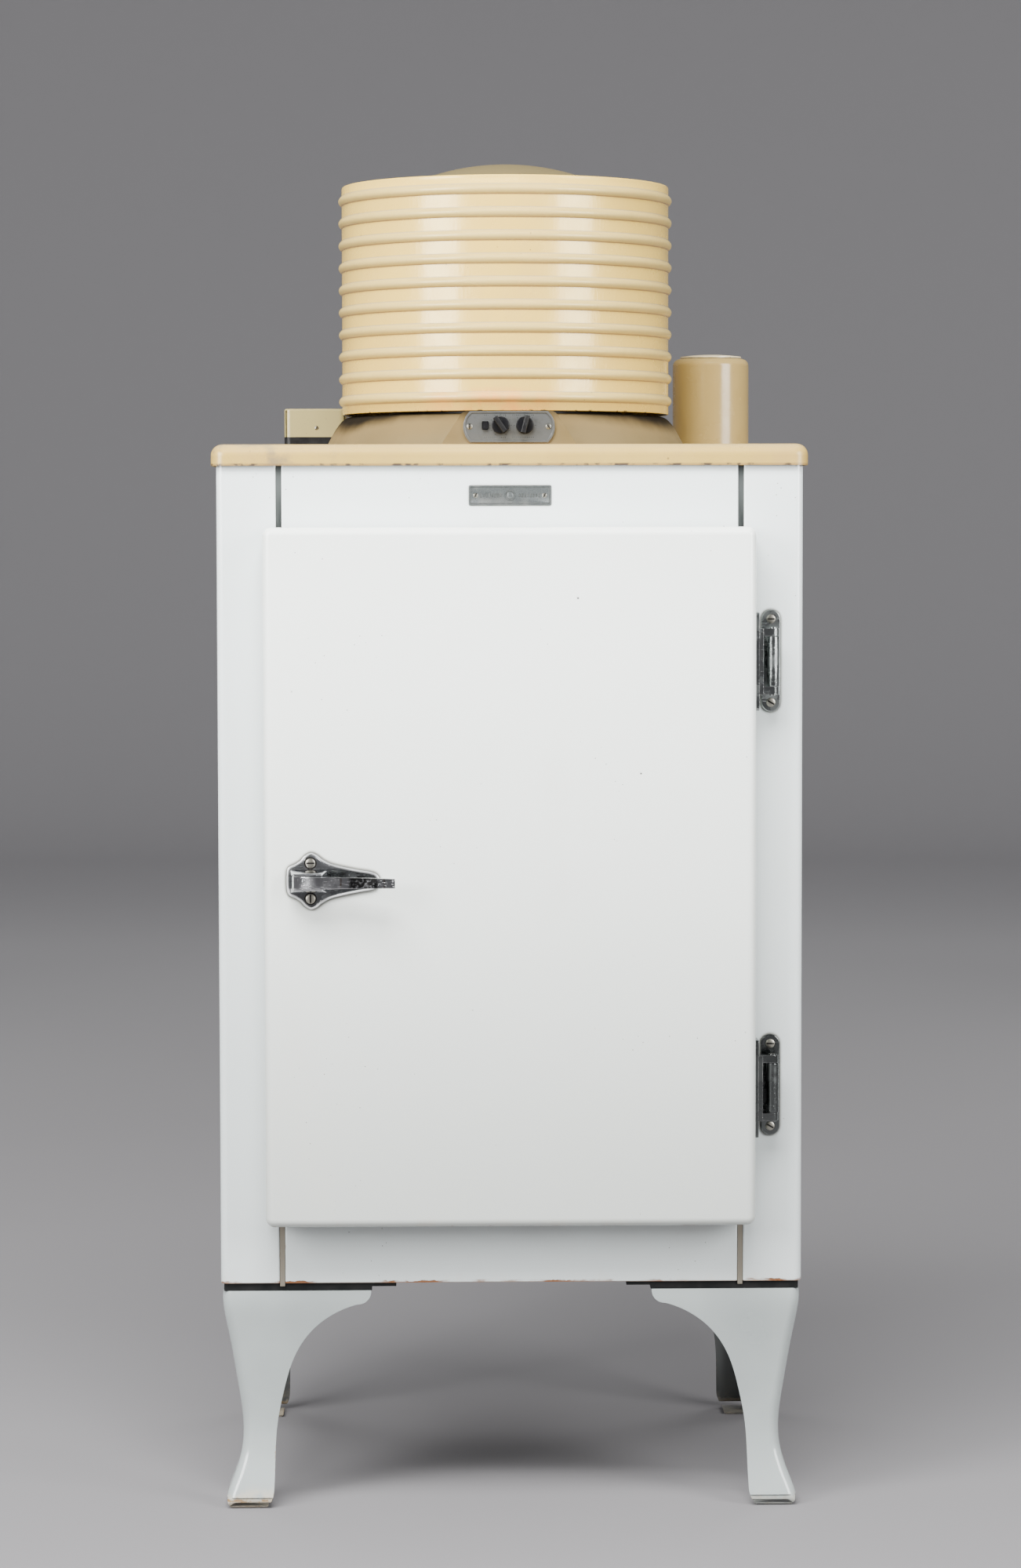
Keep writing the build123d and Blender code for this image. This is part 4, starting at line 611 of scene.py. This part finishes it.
def machined_iron():
    """Turned iron with oil stains."""
    paint = Paint("machined_iron", metallic=0.8)
    rings = paint.noise(240.0, 3.0, stretch=(1, 1, 6.0))
    color = paint.mix(paint.patches(24.0, 5.0, 0.4, 0.7), (0.22, 0.22, 0.21),
                      (0.12, 0.115, 0.11))
    oil = paint.patches(12.0, 3.0, 0.5, 0.6, shift=(3, 3, 0))
    color = paint.tint(color, (0.10, 0.07, 0.035), oil, 0.5)
    return paint.done(color, paint.blend(oil, 0.45, 0.2), paint.relief(rings, 0.00008, 0.7))


def spun_brass():
    """Spun brass, dulled in patches."""
    paint = Paint("spun_brass", metallic=1.0)
    rings = paint.noise(300.0, 3.0, stretch=(1, 1, 8.0))
    color = paint.mix(paint.patches(20.0, 5.0, 0.4, 0.7), (0.72, 0.50, 0.20),
                      (0.45, 0.29, 0.12))
    return paint.done(color, paint.blend(rings, 0.22, 0.42), paint.relief(rings, 0.00006, 0.6))


def build_enamels():
    """Painted and enamelled sheet, by the name used below."""
    cabinet_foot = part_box("sill_panel")[0][2]
    door_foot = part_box("door_outer_pan")[0][2] - 2 * MM
    return {
        "cabinet": white_enamel("cabinet_enamel", (0.800, 0.856, 0.850), (0.750, 0.808, 0.802),
                                foot_z=cabinet_foot, low_shade_share=0.70, seam_rust=True),
        # painted light: the door's enamel is a lighter copy of the cabinet's, and both take painted
        # shade towards their feet
        "door": white_enamel("lit_door_enamel", (0.930, 0.968, 0.920), (0.900, 0.942, 0.892),
                             foot_z=door_foot, low_shade_share=0.50),
        "liner": white_enamel("liner_enamel", (0.86, 0.865, 0.84), (0.80, 0.80, 0.76)),
        # painted shade: the front legs take a darker copy of the white enamel
        "leg": leg_enamel("leg_enamel", (0.345, 0.380, 0.373), (0.295, 0.325, 0.32)),
        # painted shade: the rear legs take a near-black copy of the leg enamel, for the shade under
        # the cabinet
        "rear_leg": leg_enamel("shaded_rear_leg_enamel", (0.130, 0.138, 0.135), (0.070, 0.074, 0.072)),
        "drum": drum_enamel(),
        "casing": cream_enamel("casing_enamel", (0.42, 0.31, 0.11), (0.36, 0.26, 0.09), dust=0.3,
                               rough=0.42, soot_and_shadow_heights=(1.385, 1.365)),
        "dome": cream_enamel("dome_enamel", (0.155, 0.122, 0.050), (0.136, 0.105, 0.043), dust=0.3,
                             rough=0.5),
        # painted shade: the skirt takes a darker copy of the cream enamel, for the shade under the
        # drum
        "skirt": cream_enamel("shaded_skirt_enamel", (0.155, 0.113, 0.048), (0.125, 0.090, 0.037), dust=0.2,
                              rough=0.40, coat=0.0, soot_and_shadow_heights=(1.3400, 1.3462)),
        "can": cream_enamel("can_enamel", (0.385, 0.275, 0.098), (0.335, 0.235, 0.080), dust=0.1,
                            rough=0.20),
        "lid": cream_enamel("lid_enamel", (0.66, 0.58, 0.38), (0.60, 0.52, 0.33), dust=0.3),
        "box": cream_enamel("box_enamel", (0.285, 0.240, 0.108), (0.250, 0.210, 0.092), dust=0.2),
        "pan": pan_enamel(),
    }


def build_metals():
    """Plated and bare metal, by the name used below."""
    return {
        "chrome": worn_chrome(),
        "field": worn_chrome("field_chrome", tone=(0.36, 0.375, 0.38), age=0.6, haze_gloss=0.40),
        # painted highlight: the rim is half-matt bright grey, standing in for the light it mirrors
        "rim": plain_metal("rim_metal", (0.80, 0.81, 0.80), 0.30, metallic=0.5, corner_shade_share=0.1),
        "lever": worn_chrome("lever_chrome", tone=(0.74, 0.75, 0.76), haze_gloss=0.32, wobble=0.00002,
                             worn_part=(-0.199, -0.158)),
        "hinge": worn_chrome("hinge_chrome", tone=(0.44, 0.47, 0.46), age=0.4, haze_gloss=0.50,
                             wobble=0.00003, soft=0.0005, dark_below=0.85),
        "steel": plain_metal("plain_steel", (0.50, 0.49, 0.46), 0.32),
        "screw": plain_metal("screw_steel", (0.40, 0.385, 0.33), 0.42),
        "tinned": plain_metal("tinned_wire", (0.62, 0.62, 0.60), 0.28),
        "bright": plain_metal("bright_aluminium", (0.66, 0.67, 0.67), 0.30, grain=(6, 1, 1)),
        "satin": satin_plate(),
        "stamped": stamped_metal(),
        "iron": machined_iron(),
        "brass": spun_brass(),
    }


def build_others():
    """Dull coatings, mouldings, rubber, cork and ink, by the name used below."""
    return {
        # painted shade for screw slots and seats
        "slot": dull_paint("slot_shade", (0.006, 0.006, 0.006), (0.014, 0.012, 0.010), 0.7, 300.0),
        "black_iron": dull_paint("black_iron", (0.004, 0.005, 0.005), (0.011, 0.011, 0.011), 0.55),
        "seam": seam_filler(),
        "black": gloss_black(),
        "breaker": dull_paint("breaker_moulding", (0.47, 0.47, 0.44), (0.40, 0.395, 0.36), 0.5, 12.0),
        "rubber": soft_rubber(),
        "cork": cork_board(),
        "ink": dull_paint("dial_ink", (0.035, 0.038, 0.036), (0.075, 0.078, 0.075), 0.6, 300.0),
    }


NODE_MATERIALS = {
    "cabinet": ("side_panel_left", "side_panel_right", "header_panel", "sill_panel", "back_panel"),
    "door": ("door_outer_pan",),
    "liner": ("liner", "drip_tray", "door_inner_panel", "evaporator"),
    "leg": ("leg_front_left", "leg_front_right"),
    "rear_leg": ("leg_rear_left", "leg_rear_right"),
    "drum": ("condenser_drum", "condenser_coil"),
    "casing": ("compressor_casing", "drum_brackets"),
    "dome": ("casing_dome",),
    "skirt": ("unit_base",),
    "can": ("float_chamber",),
    "lid": ("float_chamber_lid",),
    "box": ("relay_box_cover",),
    "pan": ("top_pan",),
    "chrome": ("latch_escutcheon",),
    "hinge": ("hinge_cabinet_leaves", "hinge_door_leaves", "hinge_pins"),
    "lever": ("door_handle",),
    "steel": ("cabinet_screws", "door_screws", "latch_bolt", "latch_strike", "refrigerant_lines"),
    "tinned": ("wire_shelves", "shelf_studs"),
    "bright": ("ice_tray_lower", "ice_tray_upper"),
    "satin": ("control_plate",),
    "stamped": ("nameplate",),
    "black_iron": ("leg_plates", "bottom_panel"),
    "seam": ("seam_strips",),
    "black": ("relay_box_base", "thermostat_knob", "switch_knob", "reset_button",
              "control_switch_body"),
    "breaker": ("breaker_frame",),
    "rubber": ("door_gasket", "cord_bushing"),
    "cork": ("cork_insulation", "door_insulation", "unit_plug"),
    "iron": ("motor_stator", "motor_rotor", "compressor_block", "compressor_piston"),
    "brass": ("float_ball",),
}
materials = {**build_enamels(), **build_metals(), **build_others()}


def dress(piece, material):
    """Give an object one material."""
    piece.data.materials.clear()
    piece.data.materials.append(materials[material])


for material_name, members in NODE_MATERIALS.items():
    for member in members:
        dress(nodes[member], material_name)


# ---- floor, light and camera ----------------------------------------------------------------
def link(name, data):
    """A new object in the scene."""
    made = bpy.data.objects.new(name, data)
    bpy.context.scene.collection.objects.link(made)
    return made


def smooth_object(mesh, name):
    """An object from a bmesh, with smooth faces that look outwards."""
    bmesh.ops.recalc_face_normals(mesh, faces=mesh.faces)
    data = bpy.data.meshes.new(name)
    mesh.to_mesh(data)
    mesh.free()
    data.shade_smooth()
    return link(name, data)


def lathe(name, profile, segments, centre=(0.0, 0.0), closed=False):
    """A smooth surface of revolution from (radius, height) points."""
    mesh = bmesh.new()
    rings = []
    for step in range(segments):
        angle = 2 * math.pi * step / segments
        ring = [mesh.verts.new((centre[0] + r * math.cos(angle), centre[1] + r * math.sin(angle), z))
                for r, z in profile]
        rings.append(ring)
    count = len(profile)
    for step in range(segments):
        ring = rings[step]
        after = rings[(step + 1) % segments]
        for i in range(count if closed else count - 1):
            k = (i + 1) % count
            mesh.faces.new((ring[i], after[i], after[k], ring[k]))
    bmesh.ops.remove_doubles(mesh, verts=mesh.verts, dist=1e-6)
    return smooth_object(mesh, name)


def build_stage():
    """A pale floor, darker near the object, that curves up into a round wall."""
    wall_r = 14.0
    wall_top = 12.0
    cove_r = 4.0
    flat_r = wall_r - cove_r
    profile = [(0.0, 0.0), (flat_r, 0.0)]
    steps = 14
    for i in range(1, steps + 1):
        angle = math.pi / 2 * i / steps
        profile.append((flat_r + cove_r * math.sin(angle), cove_r - cove_r * math.cos(angle)))
    profile.append((wall_r, wall_top))
    floor = lathe("studio_floor", profile, 96)
    paint = Paint("studio_paper", roughness=0.85, specular=0.2)
    x = paint.axis("X")
    y = paint.axis("Y")
    reach = paint.math("ADD", paint.math("MULTIPLY", x, x), paint.math("MULTIPLY", y, y))
    near = paint.mix(paint.noise(0.7, 2.0), (0.180, 0.175, 0.180), (0.190, 0.185, 0.190))
    tone = paint.mix(paint.band(reach, 4.0, 50.0), near, (0.45, 0.44, 0.45))
    floor.data.materials.append(paint.done(tone))


def area_light(name, place, aim, size, power, mirrored=True):
    """A softbox; one that isn't mirrored lights the object without showing as a highlight."""
    data = bpy.data.lights.new(name, "AREA")
    data.shape = "RECTANGLE"
    data.size, data.size_y = size
    data.energy = power
    light = link(name, data)
    light.location = place
    light.visible_glossy = mirrored
    light.rotation_euler = (Vector(aim) - Vector(place)).to_track_quat("-Z", "Y").to_euler()


def build_lights():
    """Two softboxes in front, one above, two behind, and a soft grey surround."""
    world = bpy.data.worlds.new("studio")
    bpy.context.scene.world = world
    world.use_nodes = True
    background = world.node_tree.nodes["Background"]
    background.inputs["Color"].default_value = (0.95, 0.97, 1.0, 1.0)
    background.inputs["Strength"].default_value = 0.36
    target = (0, 0, 0.95)
    area_light("soft_left", (-2.9, -2.75, 2.25), target, (1.9, 2.3), 275)
    area_light("soft_right", (2.95, -2.65, 2.05), target, (1.8, 2.1), 190)
    area_light("soft_top", (-0.5, -2.2, 3.7), (0, 0, 1.3), (2.4, 1.4), 430, mirrored=False)
    for side in (-1, 1):
        area_light("soft_back", (side * 3.0, 3.2, 2.6), target, (2.6, 2.2), 85, mirrored=False)


def build_camera():
    """The camera stands a little left of the middle, five metres away, and looks slightly down."""
    distance = 4.976
    side = -0.100
    eye_height = 1.200
    pitch = math.radians(3.47)
    yaw = math.radians(1.15)
    roll = math.radians(0.11)
    forward = Vector((math.sin(yaw) * math.cos(pitch), math.cos(yaw) * math.cos(pitch),
                      -math.sin(pitch)))
    level = Vector((math.cos(yaw), -math.sin(yaw), 0.0))
    upright = level.cross(forward)
    right = level * math.cos(roll) - upright * math.sin(roll)
    up = upright * math.cos(roll) + level * math.sin(roll)
    data = bpy.data.cameras.new("camera")
    data.sensor_fit = "VERTICAL"
    data.sensor_height = 36.0
    data.lens = 93.53
    camera = link("camera", data)
    turn = Matrix((right, up, -forward)).transposed().to_4x4()
    camera.matrix_world = Matrix.Translation((side, FACE_Y - distance, eye_height)) @ turn
    bpy.context.scene.camera = camera


# ---- pieces that replace plain CAD shapes ---------------------------------------------------
SHARP_DEGREES = 40


def build_drum():
    """Drum shell with its ribs blended in, and a rolled edge at its top and bottom."""
    low = DRUM_LOW.z
    high = DRUM_HIGH.z
    wall = 2 * MM
    profile = [(DRUM_R - wall, low + 1 * MM), (DRUM_R - wall / 2, low), (DRUM_R, low + 1 * MM)]
    steps = 12
    for rib in range(RIB_COUNT):
        middle = RIB_FIRST_Z + rib * RIB_PITCH
        for i in range(steps + 1):
            t = 2 * i / steps - 1
            stand = RIB_STAND * (1 - t * t) ** 0.85
            profile.append((DRUM_R + stand, middle + t * RIB_HALF))
        if rib < RIB_COUNT - 1:
            profile += [(DRUM_R, middle + RIB_HALF + 0.4 * MM), (DRUM_R, middle + RIB_PITCH / 2),
                        (DRUM_R, middle + RIB_PITCH - RIB_HALF - 0.4 * MM)]
    profile += [(DRUM_R, high - 2 * MM), (DRUM_R - 0.4 * MM, high - 0.6 * MM),
                (DRUM_R - wall / 2, high), (DRUM_R - wall, high - 1 * MM)]
    drum = lathe("drum_shell", profile, 256, (UNIT_X, UNIT_Y), closed=True)
    dress(drum, "drum")
    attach(drum, "cabinet")
    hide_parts("condenser_drum", "condenser_coil")


def rounded_rectangle(half_x, half_z, radius, steps=6):
    """Corner-rounded outline, counter-clockwise, as (x, z) points about its middle."""
    points = []
    for quarter, (sx, sz) in enumerate(((1, 1), (-1, 1), (-1, -1), (1, -1))):
        for i in range(steps + 1):
            angle = math.pi / 2 * (quarter + i / steps)
            points.append((sx * (half_x - radius) + radius * math.cos(angle),
                           sz * (half_z - radius) + radius * math.sin(angle)))
    return points


def circle(radius, count=32):
    """Round outline, counter-clockwise, as (x, z) points about its middle."""
    return [(radius * math.cos(2 * math.pi * i / count), radius * math.sin(2 * math.pi * i / count))
            for i in range(count)]


def pressed_plate(mesh, outline, steps, centre, base_y, part=0, marked=()):
    """Add a plate that follows (inset, height) steps, where outline(inset) gives its loop.

    The steps numbered in marked take the piece's second material, the others number part.
    """
    rings = []
    for distance, height in steps:
        ring = [mesh.verts.new((centre[0] + x, base_y - height, centre[1] + z))
                for x, z in outline(distance)]
        rings.append(ring)
    for step, (outer, inner) in enumerate(zip(rings, rings[1:])):
        look = 1 if step in marked else part
        for i in range(len(outer)):
            k = (i + 1) % len(outer)
            mesh.faces.new((outer[i], outer[k], inner[k], inner[i])).material_index = look
    mesh.faces.new(rings[-1]).material_index = part


def piece_from(mesh, name, used, body="cabinet"):
    """A visual piece on a body, with the named materials in order."""
    piece = smooth_object(mesh, name)
    piece.data.set_sharp_from_angle(angle=math.radians(SHARP_DEGREES))
    for material in used:
        piece.data.materials.append(materials[material])
    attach(piece, body)
    return piece


def build_nameplate():
    """Pressed plate with a raised rim, a plain round medallion and rows of strokes, no lettering."""
    low, high, centre = corners_of("nameplate")
    middle = (centre.x, centre.z)
    mesh = bmesh.new()
    field = 0.7 * MM
    rim = 1.6 * MM

    def frame_loop(distance):
        return rounded_rectangle((high.x - low.x) / 2 - distance, (high.z - low.z) / 2 - distance,
                                 0.8 * MM)

    pressed_plate(mesh, frame_loop, [(0, 0), (0, rim - 0.4 * MM), (0.4 * MM, rim), (1.5 * MM, rim),
                                     (2.7 * MM, field)], middle, FACE_Y, marked=(3,))
    sunk = field + 0.1 * MM
    raised = field + 0.6 * MM
    pressed_plate(mesh, lambda distance: circle(6.6 * MM - distance),
                  [(0, field - 0.1 * MM), (0.3 * MM, raised), (0.9 * MM, raised), (1.3 * MM, sunk),
                   (2.6 * MM, sunk), (3.4 * MM, raised)], middle, FACE_Y, marked=(0, 3))
    for side in (-1, 1):
        for i in range(8):
            reach = (2.5 if i % 3 else 1.9) * MM
            place = (middle[0] + side * (11.5 + 3.4 * i) * MM, middle[1])

            def bar_loop(distance):
                return rounded_rectangle(0.9 * MM - distance, reach - distance, 0.3 * MM, steps=2)

            pressed_plate(mesh, bar_loop, [(0, field - 0.1 * MM), (0, field + 0.3 * MM),
                                           (0.2 * MM, field + 0.45 * MM)], place, FACE_Y, part=1)
    plate = piece_from(mesh, "pressed_nameplate", ("stamped", "ink"))
    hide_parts("nameplate")


ESCUTCHEON_HALF = [(-159.5, 0), (-161.8, 7), (-169, 11.3), (-186, 14.2), (-204.5, 18), (-219, 21.8),
                   (-229, 27), (-235.5, 32.2), (-243, 35), (-250.5, 31), (-256, 25), (-262.5, 21),
                   (-269, 18), (-272.3, 12.5), (-273, 0)]


def smooth_loop(points, steps):
    """A closed smooth curve through the points."""
    loop = []
    count = len(points)
    for i in range(count):
        a, b, c, d = (Vector(points[(i + k) % count]) for k in (-1, 0, 1, 2))
        for step in range(steps):
            t = step / steps
            loop.append(0.5 * (2 * b + (c - a) * t + (2 * a - 5 * b + 4 * c - d) * t ** 2
                               + (3 * b - a - 3 * c + d) * t ** 3))
    return loop


def inset(points, amount):
    """A counter-clockwise loop moved inwards by amount."""
    moved = []
    for i, point in enumerate(points):
        along = (points[(i + 1) % len(points)] - points[i - 1]).normalized()
        moved.append((point.x - along.y * amount, point.y + along.x * amount))
    return moved


def build_escutcheon():
    """Latch plate with a round raised rim."""
    middle_z = corners_of("latch_escutcheon")[2].z
    lower = [(x, -z) for x, z in reversed(ESCUTCHEON_HALF[1:-1])]
    loop = smooth_loop([(x * MM, z * MM) for x, z in ESCUTCHEON_HALF + lower], 6)
    mesh = bmesh.new()
    steps = [(0, 0), (0, 2.4), (0.3, 3.2), (0.9, 3.8), (1.7, 4.0), (2.4, 3.7), (3.0, 2.9), (3.5, 2.2),
             (4.2, 2.1)]
    # painted shadow and grime: the outer wall and outer slope take the dark field metal, a dark line
    # round the plate
    pressed_plate(mesh, lambda distance: inset(loop, distance), [(a * MM, b * MM) for a, b in steps],
                  (0, middle_z), DOOR_FRONT_Y, marked=(3, 4, 5))
    plate = piece_from(mesh, "pressed_escutcheon", ("field", "rim"), body="door")
    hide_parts("latch_escutcheon")


def build_hood(name, side):
    """A tapering cheek above (side 1) or below (side -1) the handle's pivot."""
    middle_z = corners_of("latch_escutcheon")[2].z
    near = 7.8
    mesh = bmesh.new()
    rings = []
    for depth, x0, x1, far in ((1.0, -268, -221, 14.5), (12.0, -267, -224, 13.2),
                               (20.0, -265.5, -227, 11.4), (24.0, -264, -229, 10.0)):
        corners = ((x0, near), (x1, near), (x1, far), (x0, far))
        rings.append([mesh.verts.new((x * MM, DOOR_FRONT_Y - depth * MM, middle_z + side * z * MM))
                      for x, z in corners])
    for outer, inner in zip(rings, rings[1:]):
        for i in range(4):
            k = (i + 1) % 4
            mesh.faces.new((outer[i], outer[k], inner[k], inner[i]))
    mesh.faces.new(rings[0])
    mesh.faces.new(rings[-1])
    hood = piece_from(mesh, name, ("chrome",), body="door")
    soften = hood.modifiers.new("soften", "BEVEL")
    soften.width = 1.8 * MM
    soften.segments = 4
    soften.limit_method = "ANGLE"
    soften.angle_limit = math.radians(SHARP_DEGREES)
    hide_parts("latch_escutcheon")


DOME_STEPS = [(0, 0), (0, 0.12), (0.08, 0.20), (0.30, 0.27), (0.60, 0.31), (0.85, 0.32)]
SEAT_STEPS = [(0, 0.0001), (0.02, 0.0002), (0.1, 0.00015)]
SLOT_STEPS = [(-0.97, 0.15), (-0.7, 0.27), (-0.4, 0.31), (0.0, 0.33), (0.4, 0.31), (0.7, 0.27),
              (0.97, 0.15)]


def add_slot(mesh, middle, y, radius, turn):
    """A dark strip of painted shade across a screw's dome, standing for its slot, turned by that many
    degrees.
    """
    along = Vector((math.cos(math.radians(turn)), math.sin(math.radians(turn)))) * radius
    half = Vector((-along.y, along.x)) * 0.17
    clear = 0.08 * MM
    rungs = []
    for share, height in SLOT_STEPS:
        centre = middle + along * share
        rungs.append([mesh.verts.new((point.x, y - height * radius - clear, point.y))
                      for point in (centre - half, centre + half)])
    for first, second in zip(rungs, rungs[1:]):
        mesh.faces.new((first[0], second[0], second[1], first[1])).material_index = 1


def build_screws(name, node, body, seat_ring, places):
    """Domed heads with a slot of painted shade; places are (x, seat y, z, radius, turn of the slot).
    """
    mesh = bmesh.new()
    for x, y, z, radius, turn in places:
        pressed_plate(mesh, lambda share: circle(radius * (1 - share), 28),
                      [(share, height * radius) for share, height in DOME_STEPS], (x, z), y)
        # painted shade: the seat is a flat dark ring round the head, in the slot material
        if seat_ring:
            pressed_plate(mesh, lambda share: circle(radius * (1.28 - share), 28), SEAT_STEPS,
                          (x, z), y, part=1)
        add_slot(mesh, Vector((x, z)), y, radius, turn)
    screws = piece_from(mesh, name, ("screw", "slot"), body=body)
    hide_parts(node)


def build_front_screws():
    """The screws of the nameplate, the control plate, the relay box and the hinges."""
    name_z = corners_of("nameplate")[2].z
    name_y = FACE_Y - 0.7 * MM
    plate_low, _, plate_middle = corners_of("control_plate")
    plate_y = plate_low.y + 1.2 * MM
    plate_z = plate_middle.z + 0.5 * MM
    box_low = corners_of("relay_box_cover")[0]
    places = [(-0.042, name_y, name_z, 3.0 * MM, 60), (0.042, name_y, name_z, 3.0 * MM, 60),
              (-0.0485, plate_y, plate_z, 3.6 * MM, 90), (0.0485, plate_y, plate_z, 3.6 * MM, 125),
              (-0.246, box_low.y, box_low.z + 12 * MM, 2.6 * MM, 60)]
    leaf_low, leaf_high, _ = corners_of("hinge_cabinet_leaves")
    leaf_x = 0.3184
    leaf_y = FACE_Y - 4 * MM
    leaf_height = 125 * MM
    reach = 11.5 * MM
    for top in (leaf_high.z, leaf_low.z + leaf_height):
        places.append((leaf_x, leaf_y, top - reach, 5.6 * MM, 0))
        places.append((leaf_x, leaf_y, top - leaf_height + reach, 5.6 * MM, 150))
    build_screws("front_screws", "cabinet_screws", "cabinet", False, places)


def build_latch_screws():
    """The two large screws of the latch plate, each in a countersunk seat drawn as a flat ring of
    painted shade.
    """
    low, high, middle = corners_of("door_screws")
    radius = 6.0 * MM
    seat_y = DOOR_FRONT_Y - 2 * MM
    build_screws("latch_screws", "door_screws", "door", True,
                 [(middle.x, seat_y, high.z - radius, radius, 0),
                  (middle.x, seat_y, low.z + radius, radius, 90)])


def add_ink(mesh, points, y):
    """One flat printed mark from its (x, z) points."""
    mesh.faces.new([mesh.verts.new((x, y, z)) for x, z in points])


def add_dial(mesh, knob, turns, y):
    """Short lines round a knob, one for each turn in degrees."""
    low, high, middle = corners_of(knob)
    centre = Vector((middle.x, low.z + (high.x - low.x) / 2))
    for turn in turns:
        angle = math.radians(turn)
        along = Vector((math.sin(angle), math.cos(angle)))
        across = Vector((along.y, -along.x)) * 0.40 * MM
        near = centre + along * 12.0 * MM
        far = near + along * 1.9 * MM
        add_ink(mesh, (near - across, near + across, far + across, far - across), y)


def build_dial_marks():
    """Ink lines round the knobs and rows of small dots, as plain graduations."""
    mesh = bmesh.new()
    low, high, middle = corners_of("control_plate")
    ink_y = low.y + 1.15 * MM
    add_dial(mesh, "thermostat_knob", range(-150, 151, 30), ink_y)
    add_dial(mesh, "switch_knob", range(-90, 91, 45), ink_y)
    dot = rounded_rectangle(0.75 * MM, 0.8 * MM, 0.3 * MM, steps=1)
    for row_z in (low.z + 6.2 * MM, high.z - 5.0 * MM):
        for i in range(-13, 14):
            if abs(i) >= 2:
                add_ink(mesh, [(middle.x + i * 2.3 * MM + x, row_z + z) for x, z in dot], ink_y)
    piece_from(mesh, "dial_marks", ("ink",))


build_drum()
build_nameplate()
build_escutcheon()
for hood_name, hood_side in (("hood_lower", -1), ("hood_upper", 1)):
    build_hood(hood_name, hood_side)
build_front_screws()
build_latch_screws()
build_dial_marks()
build_stage()
build_lights()
build_camera()
